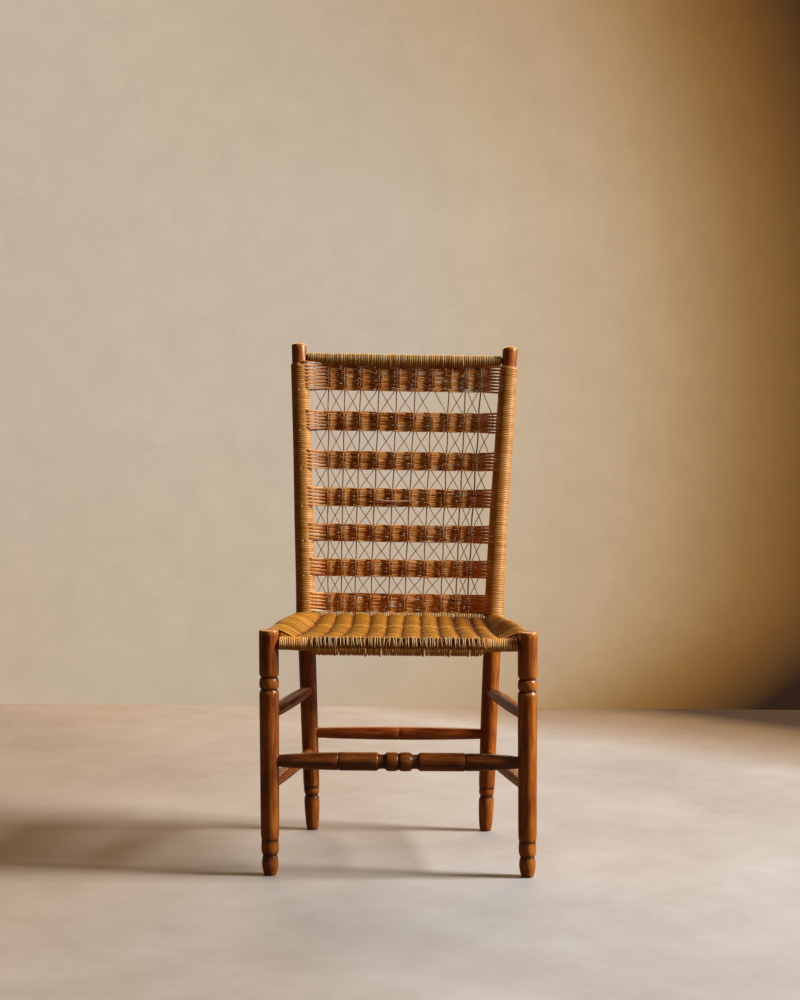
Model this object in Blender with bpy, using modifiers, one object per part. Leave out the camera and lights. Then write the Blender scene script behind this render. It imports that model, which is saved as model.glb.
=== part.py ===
"""Rattan side chair: a turned wooden frame, an openwork woven back and a woven seat.

Metres, +Z up. The chair faces -Y and stands on z = 0. Every piece is laid out with y = 0 at the front
legs, and the empty that carries them all puts the origin under the middle of the chair's outline.
"""

import math

import bmesh
import bpy
from mathutils import Matrix, Vector

# Driving sizes of the frame
FRONT_LEG_SPACING = 0.475
FRONT_LEG_HEIGHT = 0.4545
BACK_HEIGHT = 0.992
POST_FOOT_SPACING = 0.354
POST_SEAT_SPACING = 0.3805
POST_TOP_SPACING = 0.435
POST_FOOT_DEPTH = 0.3735
POST_SEAT_DEPTH = 0.366
POST_TOP_DEPTH = 0.440
SEAT_DROP = 0.0245
SEAT_LEVEL = FRONT_LEG_HEIGHT - SEAT_DROP
BEND_LENGTH = 0.060

# Clearances
FIT_GAP = 0.0003
OVERRUN = 0.002
MERGE = 0.00001

# Front leg, foot to top
LEG_RADIUS = 0.0181
LEG_LOWER_RADIUS = 0.0171
LEG_FOOT_RADIUS = 0.0115
LEG_FOOT_SWELL_RADIUS = 0.0152
LEG_GROOVE_RADIUS = 0.0130
LEG_BEAD_RADIUS = 0.0163
LEG_UPPER_GROOVE_RADIUS = 0.0143
LEG_FOOT_GROOVE_HEIGHT = 0.037
LEG_FOOT_BEAD_HEIGHT = 0.052
LEG_SHAFT_FULL = 0.080
LEG_BLOCK_LENGTH = 0.0885
LEG_BEAD_LENGTH = 0.020
LEG_COLLAR_LENGTH = 0.006
LEG_BEAD_HIGH_GROOVE = FRONT_LEG_HEIGHT - LEG_BLOCK_LENGTH
LEG_BEAD_LOW_GROOVE = LEG_BEAD_HIGH_GROOVE - LEG_BEAD_LENGTH
LEG_SHAFT_END = LEG_BEAD_LOW_GROOVE - LEG_COLLAR_LENGTH
LEG_NECK_ROUND = 0.005
LEG_NECK_DIP_SHARE = 0.2
LEG_TOP_ROUND = 0.003
LEG_TOP_ROUND_SHARES = ((0.25, 0.33), (0.0, 1.0))
LEG_STEPS = 14

# Back post, foot to top
POST_FOOT_RADIUS = 0.0115
POST_ANKLE_RADIUS = 0.0154
POST_ANKLE_HEIGHT = 0.062
POST_NECK_RADIUS = 0.0125
POST_NECK_HEIGHT = 0.0715
POST_BEAD_RADIUS = 0.0157
POST_BEAD_HEIGHT = 0.080
POST_SCRIBE_RADIUS = 0.0152
POST_SCRIBE_HEIGHT = 0.089
POST_SHIN_RADIUS = 0.0163
POST_SHIN_HEIGHT = 0.100
POST_SEAT_RADIUS = 0.0177
POST_WRAPPED_RADIUS = 0.0168
POST_TOP_RADIUS = 0.0152
POST_TOP_ROUND = 0.006
POST_SOLE = 0.003
POST_FOOT_SWELL_SHARES = (0.2, 0.6)
POST_TOP_ROUND_SHARES = (0.4, 0.8, 1.0)
POST_BEVEL_RESOLUTION = 4
POST_SHAFT_STATIONS = 10

# Seat rails: how far their axes lie below the leg's top or above the rear rail, radii
FRONT_RAIL_DROP = 0.0275
FRONT_RAIL_LEVEL = FRONT_LEG_HEIGHT - FRONT_RAIL_DROP
FRONT_RAIL_RADIUS = 0.0105
REAR_RAIL_RADIUS = 0.0105
SIDE_RAIL_FRONT_DROP = 0.015
SIDE_RAIL_FRONT_LEVEL = FRONT_LEG_HEIGHT - SIDE_RAIL_FRONT_DROP
SIDE_RAIL_REAR_RISE = 0.0025
SIDE_RAIL_REAR_LEVEL = SEAT_LEVEL + SIDE_RAIL_REAR_RISE
SIDE_RAIL_RADIUS = 0.0132
RAIL_TENON_RADIUS = 0.0075
RAIL_TENON_LENGTH = 0.0090
RAIL_TAPER_LENGTH = 0.030

# Top rail
TOP_RAIL_DROP = 0.026
TOP_RAIL_LEVEL = BACK_HEIGHT - TOP_RAIL_DROP
TOP_RAIL_RADIUS = 0.0062
TOP_TENON_RADIUS = 0.0055
TOP_TENON_LENGTH = 0.0095
TOP_TAPER_LENGTH = 0.012
TOP_WINDING_INSET = 0.006

# Front stretcher, from its middle outwards
FRONT_STRETCHER_SHARE = 0.4673
FRONT_STRETCHER_LEVEL = FRONT_LEG_HEIGHT * FRONT_STRETCHER_SHARE
STRETCHER_BEAD_RADIUS = 0.0176
STRETCHER_BEAD_LENGTH = 0.0235
STRETCHER_SCRIBE_RADIUS = 0.0150
STRETCHER_SCRIBE_WIDTH = 0.0020
STRETCHER_COVE_RADIUS = 0.0130
STRETCHER_COVE_LENGTH = 0.0145
STRETCHER_BARREL_RADIUS = 0.0170
STRETCHER_BARREL_LENGTH = 0.0780
STRETCHER_SHOULDER_RADIUS = 0.0162
STRETCHER_END_RADIUS = 0.0103
STRETCHER_TAPER_SHARES = (0.33, 0.67, 1.0)
STRETCHER_TENON_LENGTH = 0.0135

# Plain stretchers
REAR_STRETCHER_SHARE = 0.4398
REAR_STRETCHER_LEVEL = FRONT_LEG_HEIGHT * REAR_STRETCHER_SHARE
REAR_STRETCHER_RADIUS = 0.0135
UPPER_STRETCHER_SHARES = (0.6557, 0.6315)
UPPER_STRETCHER_FRONT_LEVEL = FRONT_LEG_HEIGHT * UPPER_STRETCHER_SHARES[0]
UPPER_STRETCHER_REAR_LEVEL = FRONT_LEG_HEIGHT * UPPER_STRETCHER_SHARES[1]
LOWER_STRETCHER_SHARES = (0.3674, 0.3476)
LOWER_STRETCHER_FRONT_LEVEL = FRONT_LEG_HEIGHT * LOWER_STRETCHER_SHARES[0]
LOWER_STRETCHER_REAR_LEVEL = FRONT_LEG_HEIGHT * LOWER_STRETCHER_SHARES[1]
SIDE_STRETCHER_RADIUS = 0.0130
PLAIN_END_RADIUS = 0.0100
PLAIN_TENON_LENGTH = 0.0120
PLAIN_STEPS = 12
SWELL_STATIONS = 6

# Woven back: stakes, crossed strands, weft bands
STAKE_COUNT = 10
STAKE_RADIUS = 0.0015
STAKE_SOCKET_DEPTH = 0.0045
STAKE_TOP_HALF_SPAN = 0.1560
STAKE_FOOT_HALF_SPAN = 0.1430
STRAND_WIDTH = 0.0016
STRAND_OFFSET = 0.0055
STRAND_POST_OFFSET = 0.0045
STRAND_TUCK = 0.0060
BAND_THICKNESS = 0.0070
BAND_TOP_GAP = 0.0006
BAND_COUNT = 7
TOP_BAND_SHARE = 0.115
BAND_SHARE = 0.0765
BAND_SHARE_STEP = 0.0022
ROW_SHARE = 0.0842
ROW_SHARE_STEP = 0.0036

# Wound strands
WINDING_RADIUS = 0.0010
POST_WINDING_LOOPS = 14
POST_WINDING_POINTS = 12
POST_WINDING_BARE_TOP = 0.042
POST_WINDING_START = 0.016
RAIL_WINDING_RADIUS = 0.0011
RAIL_WINDING_POINTS = 8
FRONT_WINDING_LOOPS = 14
WINDING_SELF_GAP = 0.0004
WINDING_BEVEL_RESOLUTION = 0

# Woven seat
RIB_COUNT = 10
RIB_HEIGHT = 0.0050
RIB_POINTS = 4
RIB_PROFILE_SHARES = (0.0, 0.75, 1.0, 0.75)
GROOVE_FRONT_SHARES = (-0.80, -0.62, -0.46, -0.27, -0.12, 0.02, 0.18, 0.34, 0.49, 0.66, 0.81)
GROOVE_REAR_SHARES = (-0.82, -0.66, -0.49, -0.30, -0.13, 0.05, 0.21, 0.39, 0.55, 0.72, 0.85)
SEAT_THICKNESS = 0.0038
SEAT_SAG = 0.0060
SEAT_STATIONS = 6
SEAT_FRONT_RISE = 0.0067
SEAT_REAR_RISE = 0.0081
SEAT_CORNER_DIP = 0.0050
SEAT_CORNER_START = 5
SEAT_CORNER_RIBS = 4.5
SLEEVE_THICKNESS = 0.0079
LEFT_SLEEVE_SHARES = (0.25, 0.41, 0.77, 1.0, 0.96, 0.81, 0.38)
RIGHT_SLEEVE_SHARES = (0.25, 0.25, 0.47, 0.56, 0.35, 0.25, 0.25)
SLEEVE_POINTS = 9
SLEEVE_TOP_ANGLE = math.radians(80)
SLEEVE_SHOULDER_ANGLE = math.radians(110)
PANEL_POINTS = 4
PANEL_CROWN = 0.0030
PANEL_EASE_SHARE = 0.4

WOOD_COLOUR = (0.105, 0.026, 0.012, 1.0)
RATTAN_COLOUR = (0.500, 0.235, 0.065, 1.0)


def clear_scene():
    """Remove whatever the file holds, so the script always starts empty."""
    for old in list(bpy.data.objects):
        bpy.data.objects.remove(old)


def make_material(name, colour, roughness):
    """A non-metal Principled material."""
    material = bpy.data.materials.new(name)
    material.use_nodes = True
    shader = material.node_tree.nodes["Principled BSDF"]
    shader.inputs["Base Color"].default_value = colour
    shader.inputs["Roughness"].default_value = roughness
    shader.inputs["Metallic"].default_value = 0.0
    return material


def make_collection(name):
    collection = bpy.data.collections.new(name)
    bpy.context.scene.collection.children.link(collection)
    return collection


clear_scene()
CHAIR = make_collection("rattan_chair")
CUTTERS = make_collection("cutters")
WOOD = make_material("stained_turned_wood", WOOD_COLOUR, 0.28)
RATTAN = make_material("split_rattan", RATTAN_COLOUR, 0.5)


def lerp(a, b, share):
    return a + (b - a) * share


def add_object(name, data, material):
    """Link a new visible piece and give it its material."""
    made = bpy.data.objects.new(name, data)
    if material is not None:
        data.materials.append(material)
    CHAIR.objects.link(made)
    return made


def make_cutter(made):
    """Turn an object into a hidden tool for a cut."""
    for collection in list(made.users_collection):
        collection.objects.unlink(made)
    CUTTERS.objects.link(made)
    made.hide_render = True
    made.display_type = "WIRE"
    return made


def cut(target, cutter):
    """Cut one object out of another and leave the modifier on the piece."""
    modifier = target.modifiers.new(cutter.name, "BOOLEAN")
    modifier.operation = "DIFFERENCE"
    modifier.solver = "EXACT"
    modifier.object = cutter


def shade_round(mesh):
    mesh.shade_smooth()
    mesh.set_sharp_from_angle(angle=math.radians(35))


def axis_matrix(start, end):
    """The matrix that puts an upright turned piece on the line from start to end."""
    direction = (end - start).normalized()
    turn = Vector((0, 0, 1)).rotation_difference(direction).to_matrix().to_4x4()
    return Matrix.Translation(start) @ turn


def turned(name, outline, start, end, steps, material=WOOD):
    """A lathe-turned piece: the outline of (distance along the axis, radius) spun about its axis."""
    points = [(radius, 0, along) for along, radius in reversed(outline)]
    points = [(0, 0, outline[-1][0])] + points + [(0, 0, outline[0][0])]
    mesh = bpy.data.meshes.new(name)
    edges = [(i, i + 1) for i in range(len(points) - 1)]
    mesh.from_pydata(points, edges, [])
    made = add_object(name, mesh, material)
    made.matrix_world = axis_matrix(start, end)
    screw = made.modifiers.new("lathe", "SCREW")
    screw.axis = "Z"
    screw.steps = steps
    screw.render_steps = steps
    screw.use_merge_vertices = True
    screw.merge_threshold = MERGE
    screw.use_smooth_shade = True
    return made


def tube(name, points, radii, resolution, material=RATTAN):
    """A bar or strand along a line of points, with a radius at each."""
    curve = bpy.data.curves.new(name, "CURVE")
    curve.dimensions = "3D"
    curve.bevel_depth = max(radii)
    curve.bevel_resolution = resolution
    curve.use_fill_caps = True
    spline = curve.splines.new("POLY")
    spline.points.add(len(points) - 1)
    for point, place, radius in zip(spline.points, points, radii):
        point.co = (*place, 1)
        point.radius = radius / curve.bevel_depth
    return add_object(name, curve, material)


def as_mesh(made):
    """The same piece as a closed mesh, so that it can be cut or can cut."""
    graph = bpy.context.evaluated_depsgraph_get()
    mesh = bpy.data.meshes.new_from_object(made.evaluated_get(graph))
    work = bmesh.new()
    work.from_mesh(mesh)
    bmesh.ops.remove_doubles(work, verts=work.verts, dist=MERGE)
    work.to_mesh(mesh)
    work.free()
    name = made.name
    world = made.matrix_world.copy()
    bpy.data.objects.remove(made)
    mesh.name = name
    shade_round(mesh)
    solid = bpy.data.objects.new(name, mesh)
    CHAIR.objects.link(solid)
    solid.matrix_world = world
    return solid


def bump(start, length, low, high, points):
    """Points of a rounded bead from start over its length, rising from low to high."""
    found = []
    for i in range(points + 1):
        angle = math.pi * i / points
        found.append((start + length * (1 - math.cos(angle)) / 2, low + (high - low) * math.sin(angle)))
    return found


# Line of the back posts

def post_lean(height):
    """How far behind the front legs a post's axis lies at a height: upright, then leaning back."""
    reach = height - SEAT_LEVEL
    below = lerp(POST_FOOT_DEPTH, POST_SEAT_DEPTH, height / SEAT_LEVEL)
    above = POST_SEAT_DEPTH + reach * (POST_TOP_DEPTH - POST_SEAT_DEPTH) / (BACK_HEIGHT - SEAT_LEVEL)
    if reach <= -BEND_LENGTH:
        return below
    if reach >= 0:
        return above
    share = 1 + reach / BEND_LENGTH
    return lerp(below, above, share * share)


def post_half_spacing(height):
    """Half the distance between the post axes at a height, which spread in one slow curve."""
    foot, seat, top = POST_FOOT_SPACING / 2, POST_SEAT_SPACING / 2, POST_TOP_SPACING / 2
    low_slope = (seat - foot) / SEAT_LEVEL
    high_slope = (top - seat) / (BACK_HEIGHT - SEAT_LEVEL)
    bend = (high_slope - low_slope) / BACK_HEIGHT
    return foot + low_slope * height + bend * height * (height - SEAT_LEVEL)


def post_axis(side, height):
    return Vector((side * post_half_spacing(height), post_lean(height), height))


def post_radius(height):
    """Radius of a post's plain shaft above its turned foot."""
    if height <= SEAT_LEVEL:
        share = (height - POST_SHIN_HEIGHT) / (SEAT_LEVEL - POST_SHIN_HEIGHT)
        return lerp(POST_SHIN_RADIUS, POST_SEAT_RADIUS, math.sin(share * math.pi / 2))
    share = (height - SEAT_LEVEL) / (BACK_HEIGHT - SEAT_LEVEL)
    settle = min(1, (height - SEAT_LEVEL) / BEND_LENGTH)
    wrapped = lerp(POST_WRAPPED_RADIUS, POST_TOP_RADIUS, share)
    return lerp(POST_SEAT_RADIUS, wrapped, settle)


# Wooden frame

def make_front_leg(name, side):
    """A front leg: turned foot, long shaft, bead under the seat and a plain block round the rails."""
    outline = [(0, LEG_FOOT_RADIUS)]
    outline += bump(0, 2 * LEG_FOOT_GROOVE_HEIGHT, LEG_FOOT_RADIUS, LEG_FOOT_SWELL_RADIUS, 8)[1:6]
    outline.append((LEG_FOOT_GROOVE_HEIGHT, LEG_GROOVE_RADIUS))
    bead_half = LEG_FOOT_BEAD_HEIGHT - LEG_FOOT_GROOVE_HEIGHT
    outline += bump(LEG_FOOT_GROOVE_HEIGHT, 2 * bead_half, LEG_GROOVE_RADIUS, LEG_BEAD_RADIUS, 6)[1:]
    outline.append((LEG_SHAFT_FULL, LEG_LOWER_RADIUS))
    outline.append((LEG_SHAFT_END - LEG_NECK_ROUND, LEG_RADIUS))
    neck = lerp(LEG_RADIUS, LEG_UPPER_GROOVE_RADIUS, LEG_NECK_DIP_SHARE)
    outline.append((LEG_SHAFT_END, neck))
    outline += bump(LEG_BEAD_LOW_GROOVE, LEG_BEAD_LENGTH, LEG_UPPER_GROOVE_RADIUS, LEG_RADIUS, 6)
    outline.append((LEG_BEAD_HIGH_GROOVE + LEG_NECK_ROUND, neck))
    outline.append((LEG_BEAD_HIGH_GROOVE + 2 * LEG_NECK_ROUND, LEG_RADIUS))
    outline.append((FRONT_LEG_HEIGHT - LEG_TOP_ROUND, LEG_RADIUS))
    for down, inward in LEG_TOP_ROUND_SHARES:
        outline.append((FRONT_LEG_HEIGHT - LEG_TOP_ROUND * down, LEG_RADIUS - LEG_TOP_ROUND * inward))
    foot = Vector((side * FRONT_LEG_SPACING / 2, 0, 0))
    return turned(name, outline, foot, foot + Vector((0, 0, FRONT_LEG_HEIGHT)), LEG_STEPS)


def make_back_post(name, side):
    """A rear leg and back post in one bent bar, with a turned ankle and a rounded top."""
    stations = [(0, POST_FOOT_RADIUS)]
    for height, swell in zip((POST_SOLE, POST_ANKLE_HEIGHT / 2), POST_FOOT_SWELL_SHARES):
        stations.append((height, lerp(POST_FOOT_RADIUS, POST_ANKLE_RADIUS, swell)))
    stations.append((POST_ANKLE_HEIGHT, POST_ANKLE_RADIUS))
    stations.append(((POST_ANKLE_HEIGHT + POST_NECK_HEIGHT) / 2, (POST_ANKLE_RADIUS + POST_NECK_RADIUS) / 2))
    stations.append((POST_NECK_HEIGHT, POST_NECK_RADIUS))
    bead_half = POST_BEAD_HEIGHT - POST_NECK_HEIGHT
    stations += bump(POST_NECK_HEIGHT, 2 * bead_half, POST_NECK_RADIUS, POST_BEAD_RADIUS, 6)[1:5]
    stations.append((POST_SCRIBE_HEIGHT, POST_SCRIBE_RADIUS))
    for i in range(POST_SHAFT_STATIONS + 1):
        height = lerp(POST_SHIN_HEIGHT, BACK_HEIGHT - POST_TOP_ROUND, i / POST_SHAFT_STATIONS)
        stations.append((height, post_radius(height)))
    for share in POST_TOP_ROUND_SHARES:
        height = BACK_HEIGHT - POST_TOP_ROUND * (1 - share)
        drop = 1 - math.sqrt(1 - share * share)
        stations.append((height, POST_TOP_RADIUS - POST_TOP_ROUND * drop))
    points = [post_axis(side, height) for height, _ in stations]
    points[0] = Vector((points[1].x, points[1].y, 0))
    bar = tube(name, points, [radius for _, radius in stations], POST_BEVEL_RESOLUTION, WOOD)
    return as_mesh(bar)


def plain_outline(length, middle, end, tenon):
    """A plain stretcher: a slow swell between two ends that run on into the legs."""
    outline = [(-tenon, end)]
    for i in range(SWELL_STATIONS + 1):
        share = i / SWELL_STATIONS
        outline.append((share * length, end + (middle - end) * math.sin(math.pi * share)))
    outline.append((length + tenon, end))
    return outline


def rail_outline(length, middle, tenon_radius, tenon, taper):
    """A seat or top rail: a plain bar that tapers to a round tenon at each end."""
    return [(-tenon, tenon_radius), (0, tenon_radius), (taper, middle),
            (length - taper, middle), (length, tenon_radius), (length + tenon, tenon_radius)]


def front_stretcher_outline(length):
    """The turned front stretcher: twin beads, coves, barrels, and a taper to each end."""
    scribe = STRETCHER_SCRIBE_WIDTH / 2
    half = [(0, STRETCHER_SCRIBE_RADIUS)]
    half += bump(scribe, STRETCHER_BEAD_LENGTH - scribe, STRETCHER_SCRIBE_RADIUS, STRETCHER_BEAD_RADIUS, 6)[:-1]
    cove = STRETCHER_BEAD_LENGTH + STRETCHER_COVE_LENGTH
    half.append((STRETCHER_BEAD_LENGTH, STRETCHER_COVE_RADIUS + STRETCHER_SCRIBE_WIDTH))
    half.append(((STRETCHER_BEAD_LENGTH + cove) / 2, STRETCHER_COVE_RADIUS))
    half.append((cove, STRETCHER_COVE_RADIUS + STRETCHER_SCRIBE_WIDTH))
    half.append((cove, STRETCHER_BARREL_RADIUS))
    barrel = cove + STRETCHER_BARREL_LENGTH
    half.append((barrel, STRETCHER_BARREL_RADIUS))
    half.append((barrel + scribe, STRETCHER_SCRIBE_RADIUS))
    half.append((barrel + STRETCHER_SCRIBE_WIDTH, STRETCHER_SHOULDER_RADIUS))
    for share in STRETCHER_TAPER_SHARES:
        along = lerp(barrel, length / 2, share)
        half.append((along, lerp(STRETCHER_SHOULDER_RADIUS, STRETCHER_END_RADIUS, share * share)))
    half.append((length / 2 + STRETCHER_TENON_LENGTH, STRETCHER_END_RADIUS))
    middle = length / 2
    left = [(middle - along, radius) for along, radius in reversed(half[1:])]
    return left + [(middle + along, radius) for along, radius in half]


def surface_span(start, start_radius, end, end_radius):
    """The stretch of the line between two axes that lies outside both round members."""
    direction = (end - start).normalized()
    return start + direction * start_radius, end - direction * end_radius


def mortise(target, name, start, end, stretch, radius, steps):
    """Drill a round hole into a member along a stretch (from, to) of the line from start to end."""
    outline = [(along, radius + FIT_GAP) for along in stretch]
    cut(target, make_cutter(turned(name, outline, start, end, steps, None)))


def join(name, owners, ends, radii, outline_of, steps, tenon, tenon_radius):
    """A member between two uprights, let into each of them by a round tenon."""
    start, end = surface_span(ends[0], radii[0], ends[1], radii[1])
    length = (end - start).length
    made = turned(name, outline_of(length), start, end, steps)
    depth = tenon + FIT_GAP
    for owner, word, stretch in (
        (owners[0], "first", (-depth, OVERRUN)),
        (owners[1], "second", (length - OVERRUN, length + depth)),
    ):
        mortise(owner, f"{name}_{word}_hole", start, end, stretch, tenon_radius, steps)
    return made


def make_frame():
    """Legs, posts, rails and stretchers."""
    sides = {"left": -1, "right": 1}
    legs = {word: make_front_leg("front_leg_" + word, side) for word, side in sides.items()}
    posts = {word: make_back_post("back_post_" + word, side) for word, side in sides.items()}

    def leg_at(word, height):
        return Vector((sides[word] * FRONT_LEG_SPACING / 2, 0, height))

    def rail(length):
        return rail_outline(length, FRONT_RAIL_RADIUS, RAIL_TENON_RADIUS, RAIL_TENON_LENGTH, RAIL_TAPER_LENGTH)

    def rear_rail(length):
        return rail_outline(length, REAR_RAIL_RADIUS, RAIL_TENON_RADIUS, RAIL_TENON_LENGTH, RAIL_TAPER_LENGTH)

    def side_rail(length):
        return rail_outline(length, SIDE_RAIL_RADIUS, RAIL_TENON_RADIUS, RAIL_TENON_LENGTH, RAIL_TAPER_LENGTH)

    def top_rail(length):
        return rail_outline(length, TOP_RAIL_RADIUS, TOP_TENON_RADIUS, TOP_TENON_LENGTH, TOP_TAPER_LENGTH)

    def rear_stretcher(length):
        return plain_outline(length, REAR_STRETCHER_RADIUS, PLAIN_END_RADIUS, PLAIN_TENON_LENGTH)

    def side_stretcher(length):
        return plain_outline(length, SIDE_STRETCHER_RADIUS, PLAIN_END_RADIUS, PLAIN_TENON_LENGTH)

    leg_pair = (legs["left"], legs["right"])
    post_pair = (posts["left"], posts["right"])

    def across_legs(name, height, outline_of, steps, tenon, tenon_radius):
        ends = (leg_at("left", height), leg_at("right", height))
        return join(name, leg_pair, ends, (LEG_RADIUS, LEG_RADIUS), outline_of, steps, tenon, tenon_radius)

    def across_posts(name, height, outline_of, steps, tenon, tenon_radius):
        ends = (post_axis(-1, height), post_axis(1, height))
        radii = (post_radius(height), post_radius(height))
        return join(name, post_pair, ends, radii, outline_of, steps, tenon, tenon_radius)

    across_legs("front_seat_rail", FRONT_RAIL_LEVEL, rail, PLAIN_STEPS, RAIL_TENON_LENGTH, RAIL_TENON_RADIUS)
    across_legs("front_stretcher", FRONT_STRETCHER_LEVEL, front_stretcher_outline, LEG_STEPS,
                STRETCHER_TENON_LENGTH, STRETCHER_END_RADIUS)
    back = across_posts("rear_seat_rail", SEAT_LEVEL, rear_rail, PLAIN_STEPS, RAIL_TENON_LENGTH, RAIL_TENON_RADIUS)
    across_posts("rear_stretcher", REAR_STRETCHER_LEVEL, rear_stretcher, PLAIN_STEPS,
                 PLAIN_TENON_LENGTH, PLAIN_END_RADIUS)
    crest = across_posts("top_rail", TOP_RAIL_LEVEL, top_rail, PLAIN_STEPS, TOP_TENON_LENGTH, TOP_TENON_RADIUS)

    side_members = (
        ("side_seat_rail_", SIDE_RAIL_FRONT_LEVEL, SIDE_RAIL_REAR_LEVEL, side_rail,
         RAIL_TENON_LENGTH, RAIL_TENON_RADIUS),
        ("upper_side_stretcher_", UPPER_STRETCHER_FRONT_LEVEL, UPPER_STRETCHER_REAR_LEVEL, side_stretcher,
         PLAIN_TENON_LENGTH, PLAIN_END_RADIUS),
        ("lower_side_stretcher_", LOWER_STRETCHER_FRONT_LEVEL, LOWER_STRETCHER_REAR_LEVEL, side_stretcher,
         PLAIN_TENON_LENGTH, PLAIN_END_RADIUS),
    )
    for word, side in sides.items():
        for name, front, rear, outline_of, tenon, tenon_radius in side_members:
            ends = (leg_at(word, front), post_axis(side, rear))
            radii = (LEG_RADIUS, post_radius(rear))
            owners = (legs[word], posts[word])
            join(name + word, owners, ends, radii, outline_of, PLAIN_STEPS, tenon, tenon_radius)
    return crest, back


# Woven back

def stake_line(number, height):
    """A stake's axis at a height, as it fans out between the seat and the top rail."""
    share = (height - SEAT_LEVEL) / (TOP_RAIL_LEVEL - SEAT_LEVEL)
    span = lerp(STAKE_FOOT_HALF_SPAN, STAKE_TOP_HALF_SPAN, share)
    return lerp(-span, span, number / (STAKE_COUNT - 1))


def wound_post_radius(height):
    """Outer radius of a post with its winding."""
    bare = post_radius(height)
    return bare + winding_lift(bare, POST_WINDING_POINTS, WINDING_RADIUS) + WINDING_RADIUS


def winding_lift(radius, points, strand):
    """Distance from a member's surface to the middle of a strand wound round it in straight chords."""
    return radius * (1 / math.cos(math.pi / points) - 1) + strand + FIT_GAP


def wound_rail_radius(radius):
    """Outer radius of a rail with its winding."""
    return radius + winding_lift(radius, RAIL_WINDING_POINTS, RAIL_WINDING_RADIUS) + RAIL_WINDING_RADIUS


def band_edges():
    """Top and bottom heights of each weft band, from the top rail down to the rear seat rail."""
    top = TOP_RAIL_LEVEL - wound_rail_radius(TOP_RAIL_RADIUS) - BAND_TOP_GAP
    foot = SEAT_LEVEL + wound_rail_radius(REAR_RAIL_RADIUS) + BAND_TOP_GAP
    height = top - foot
    edges = []
    level = top
    for i in range(BAND_COUNT):
        share = BAND_SHARE - BAND_SHARE_STEP * i
        if i == 0:
            share = TOP_BAND_SHARE
        if i == BAND_COUNT - 1:
            edges.append((level, foot))
            break
        edges.append((level, level - share * height))
        level -= (share + ROW_SHARE - ROW_SHARE_STEP * i) * height
    return edges


def back_point(across, height, out=0.0):
    """A point of the back's plane, moved out of it towards the rear by the last value."""
    slope = (POST_TOP_DEPTH - POST_SEAT_DEPTH) / (BACK_HEIGHT - SEAT_LEVEL)
    run = math.hypot(1, slope)
    depth = POST_SEAT_DEPTH + (height - SEAT_LEVEL) * slope
    return Vector((across, depth + out / run, height - out * slope / run))


def edge_strand_line(height):
    """The outermost strand's distance from the middle: a straight line just clear of the wound post."""
    def beside_post(level):
        return post_half_spacing(level) - wound_post_radius(level) - STRAND_POST_OFFSET

    share = (height - SEAT_LEVEL) / (TOP_RAIL_LEVEL - SEAT_LEVEL)
    return lerp(beside_post(SEAT_LEVEL + BEND_LENGTH), beside_post(TOP_RAIL_LEVEL), share)


def strand_line(column, side, height):
    """Where a crossed strand of a column runs inside a band: beside a stake, or beside a post."""
    if side < 0 and column == 0:
        return -edge_strand_line(height)
    if side > 0 and column == STAKE_COUNT:
        return edge_strand_line(height)
    number = column - 1 if side < 0 else column
    return stake_line(number, height) - side * STRAND_OFFSET


def make_stakes(crest, back):
    """The upright stakes, let into the rear seat rail and the top rail."""
    low = SEAT_LEVEL + REAR_RAIL_RADIUS - STAKE_SOCKET_DEPTH
    high = TOP_RAIL_LEVEL - TOP_RAIL_RADIUS + STAKE_SOCKET_DEPTH
    for number in range(STAKE_COUNT):
        foot = back_point(stake_line(number, low), low)
        head = back_point(stake_line(number, high), high)
        tube(f"back_stake_{number + 1:02d}", [foot, head], [STAKE_RADIUS] * 2, 2)
        along = (head - foot).normalized()
        extra = along * FIT_GAP
        for rail, mark, inner in ((back, "foot", foot - extra), (crest, "head", head + extra)):
            outer = inner + along * (STAKE_SOCKET_DEPTH + OVERRUN) * (1 if mark == "foot" else -1)
            radii = [STAKE_RADIUS + FIT_GAP] * 2
            hole = tube(f"stake_{mark}_hole_{number + 1:02d}", [inner, outer], radii, 2, None)
            cut(rail, make_cutter(as_mesh(hole)))


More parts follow.
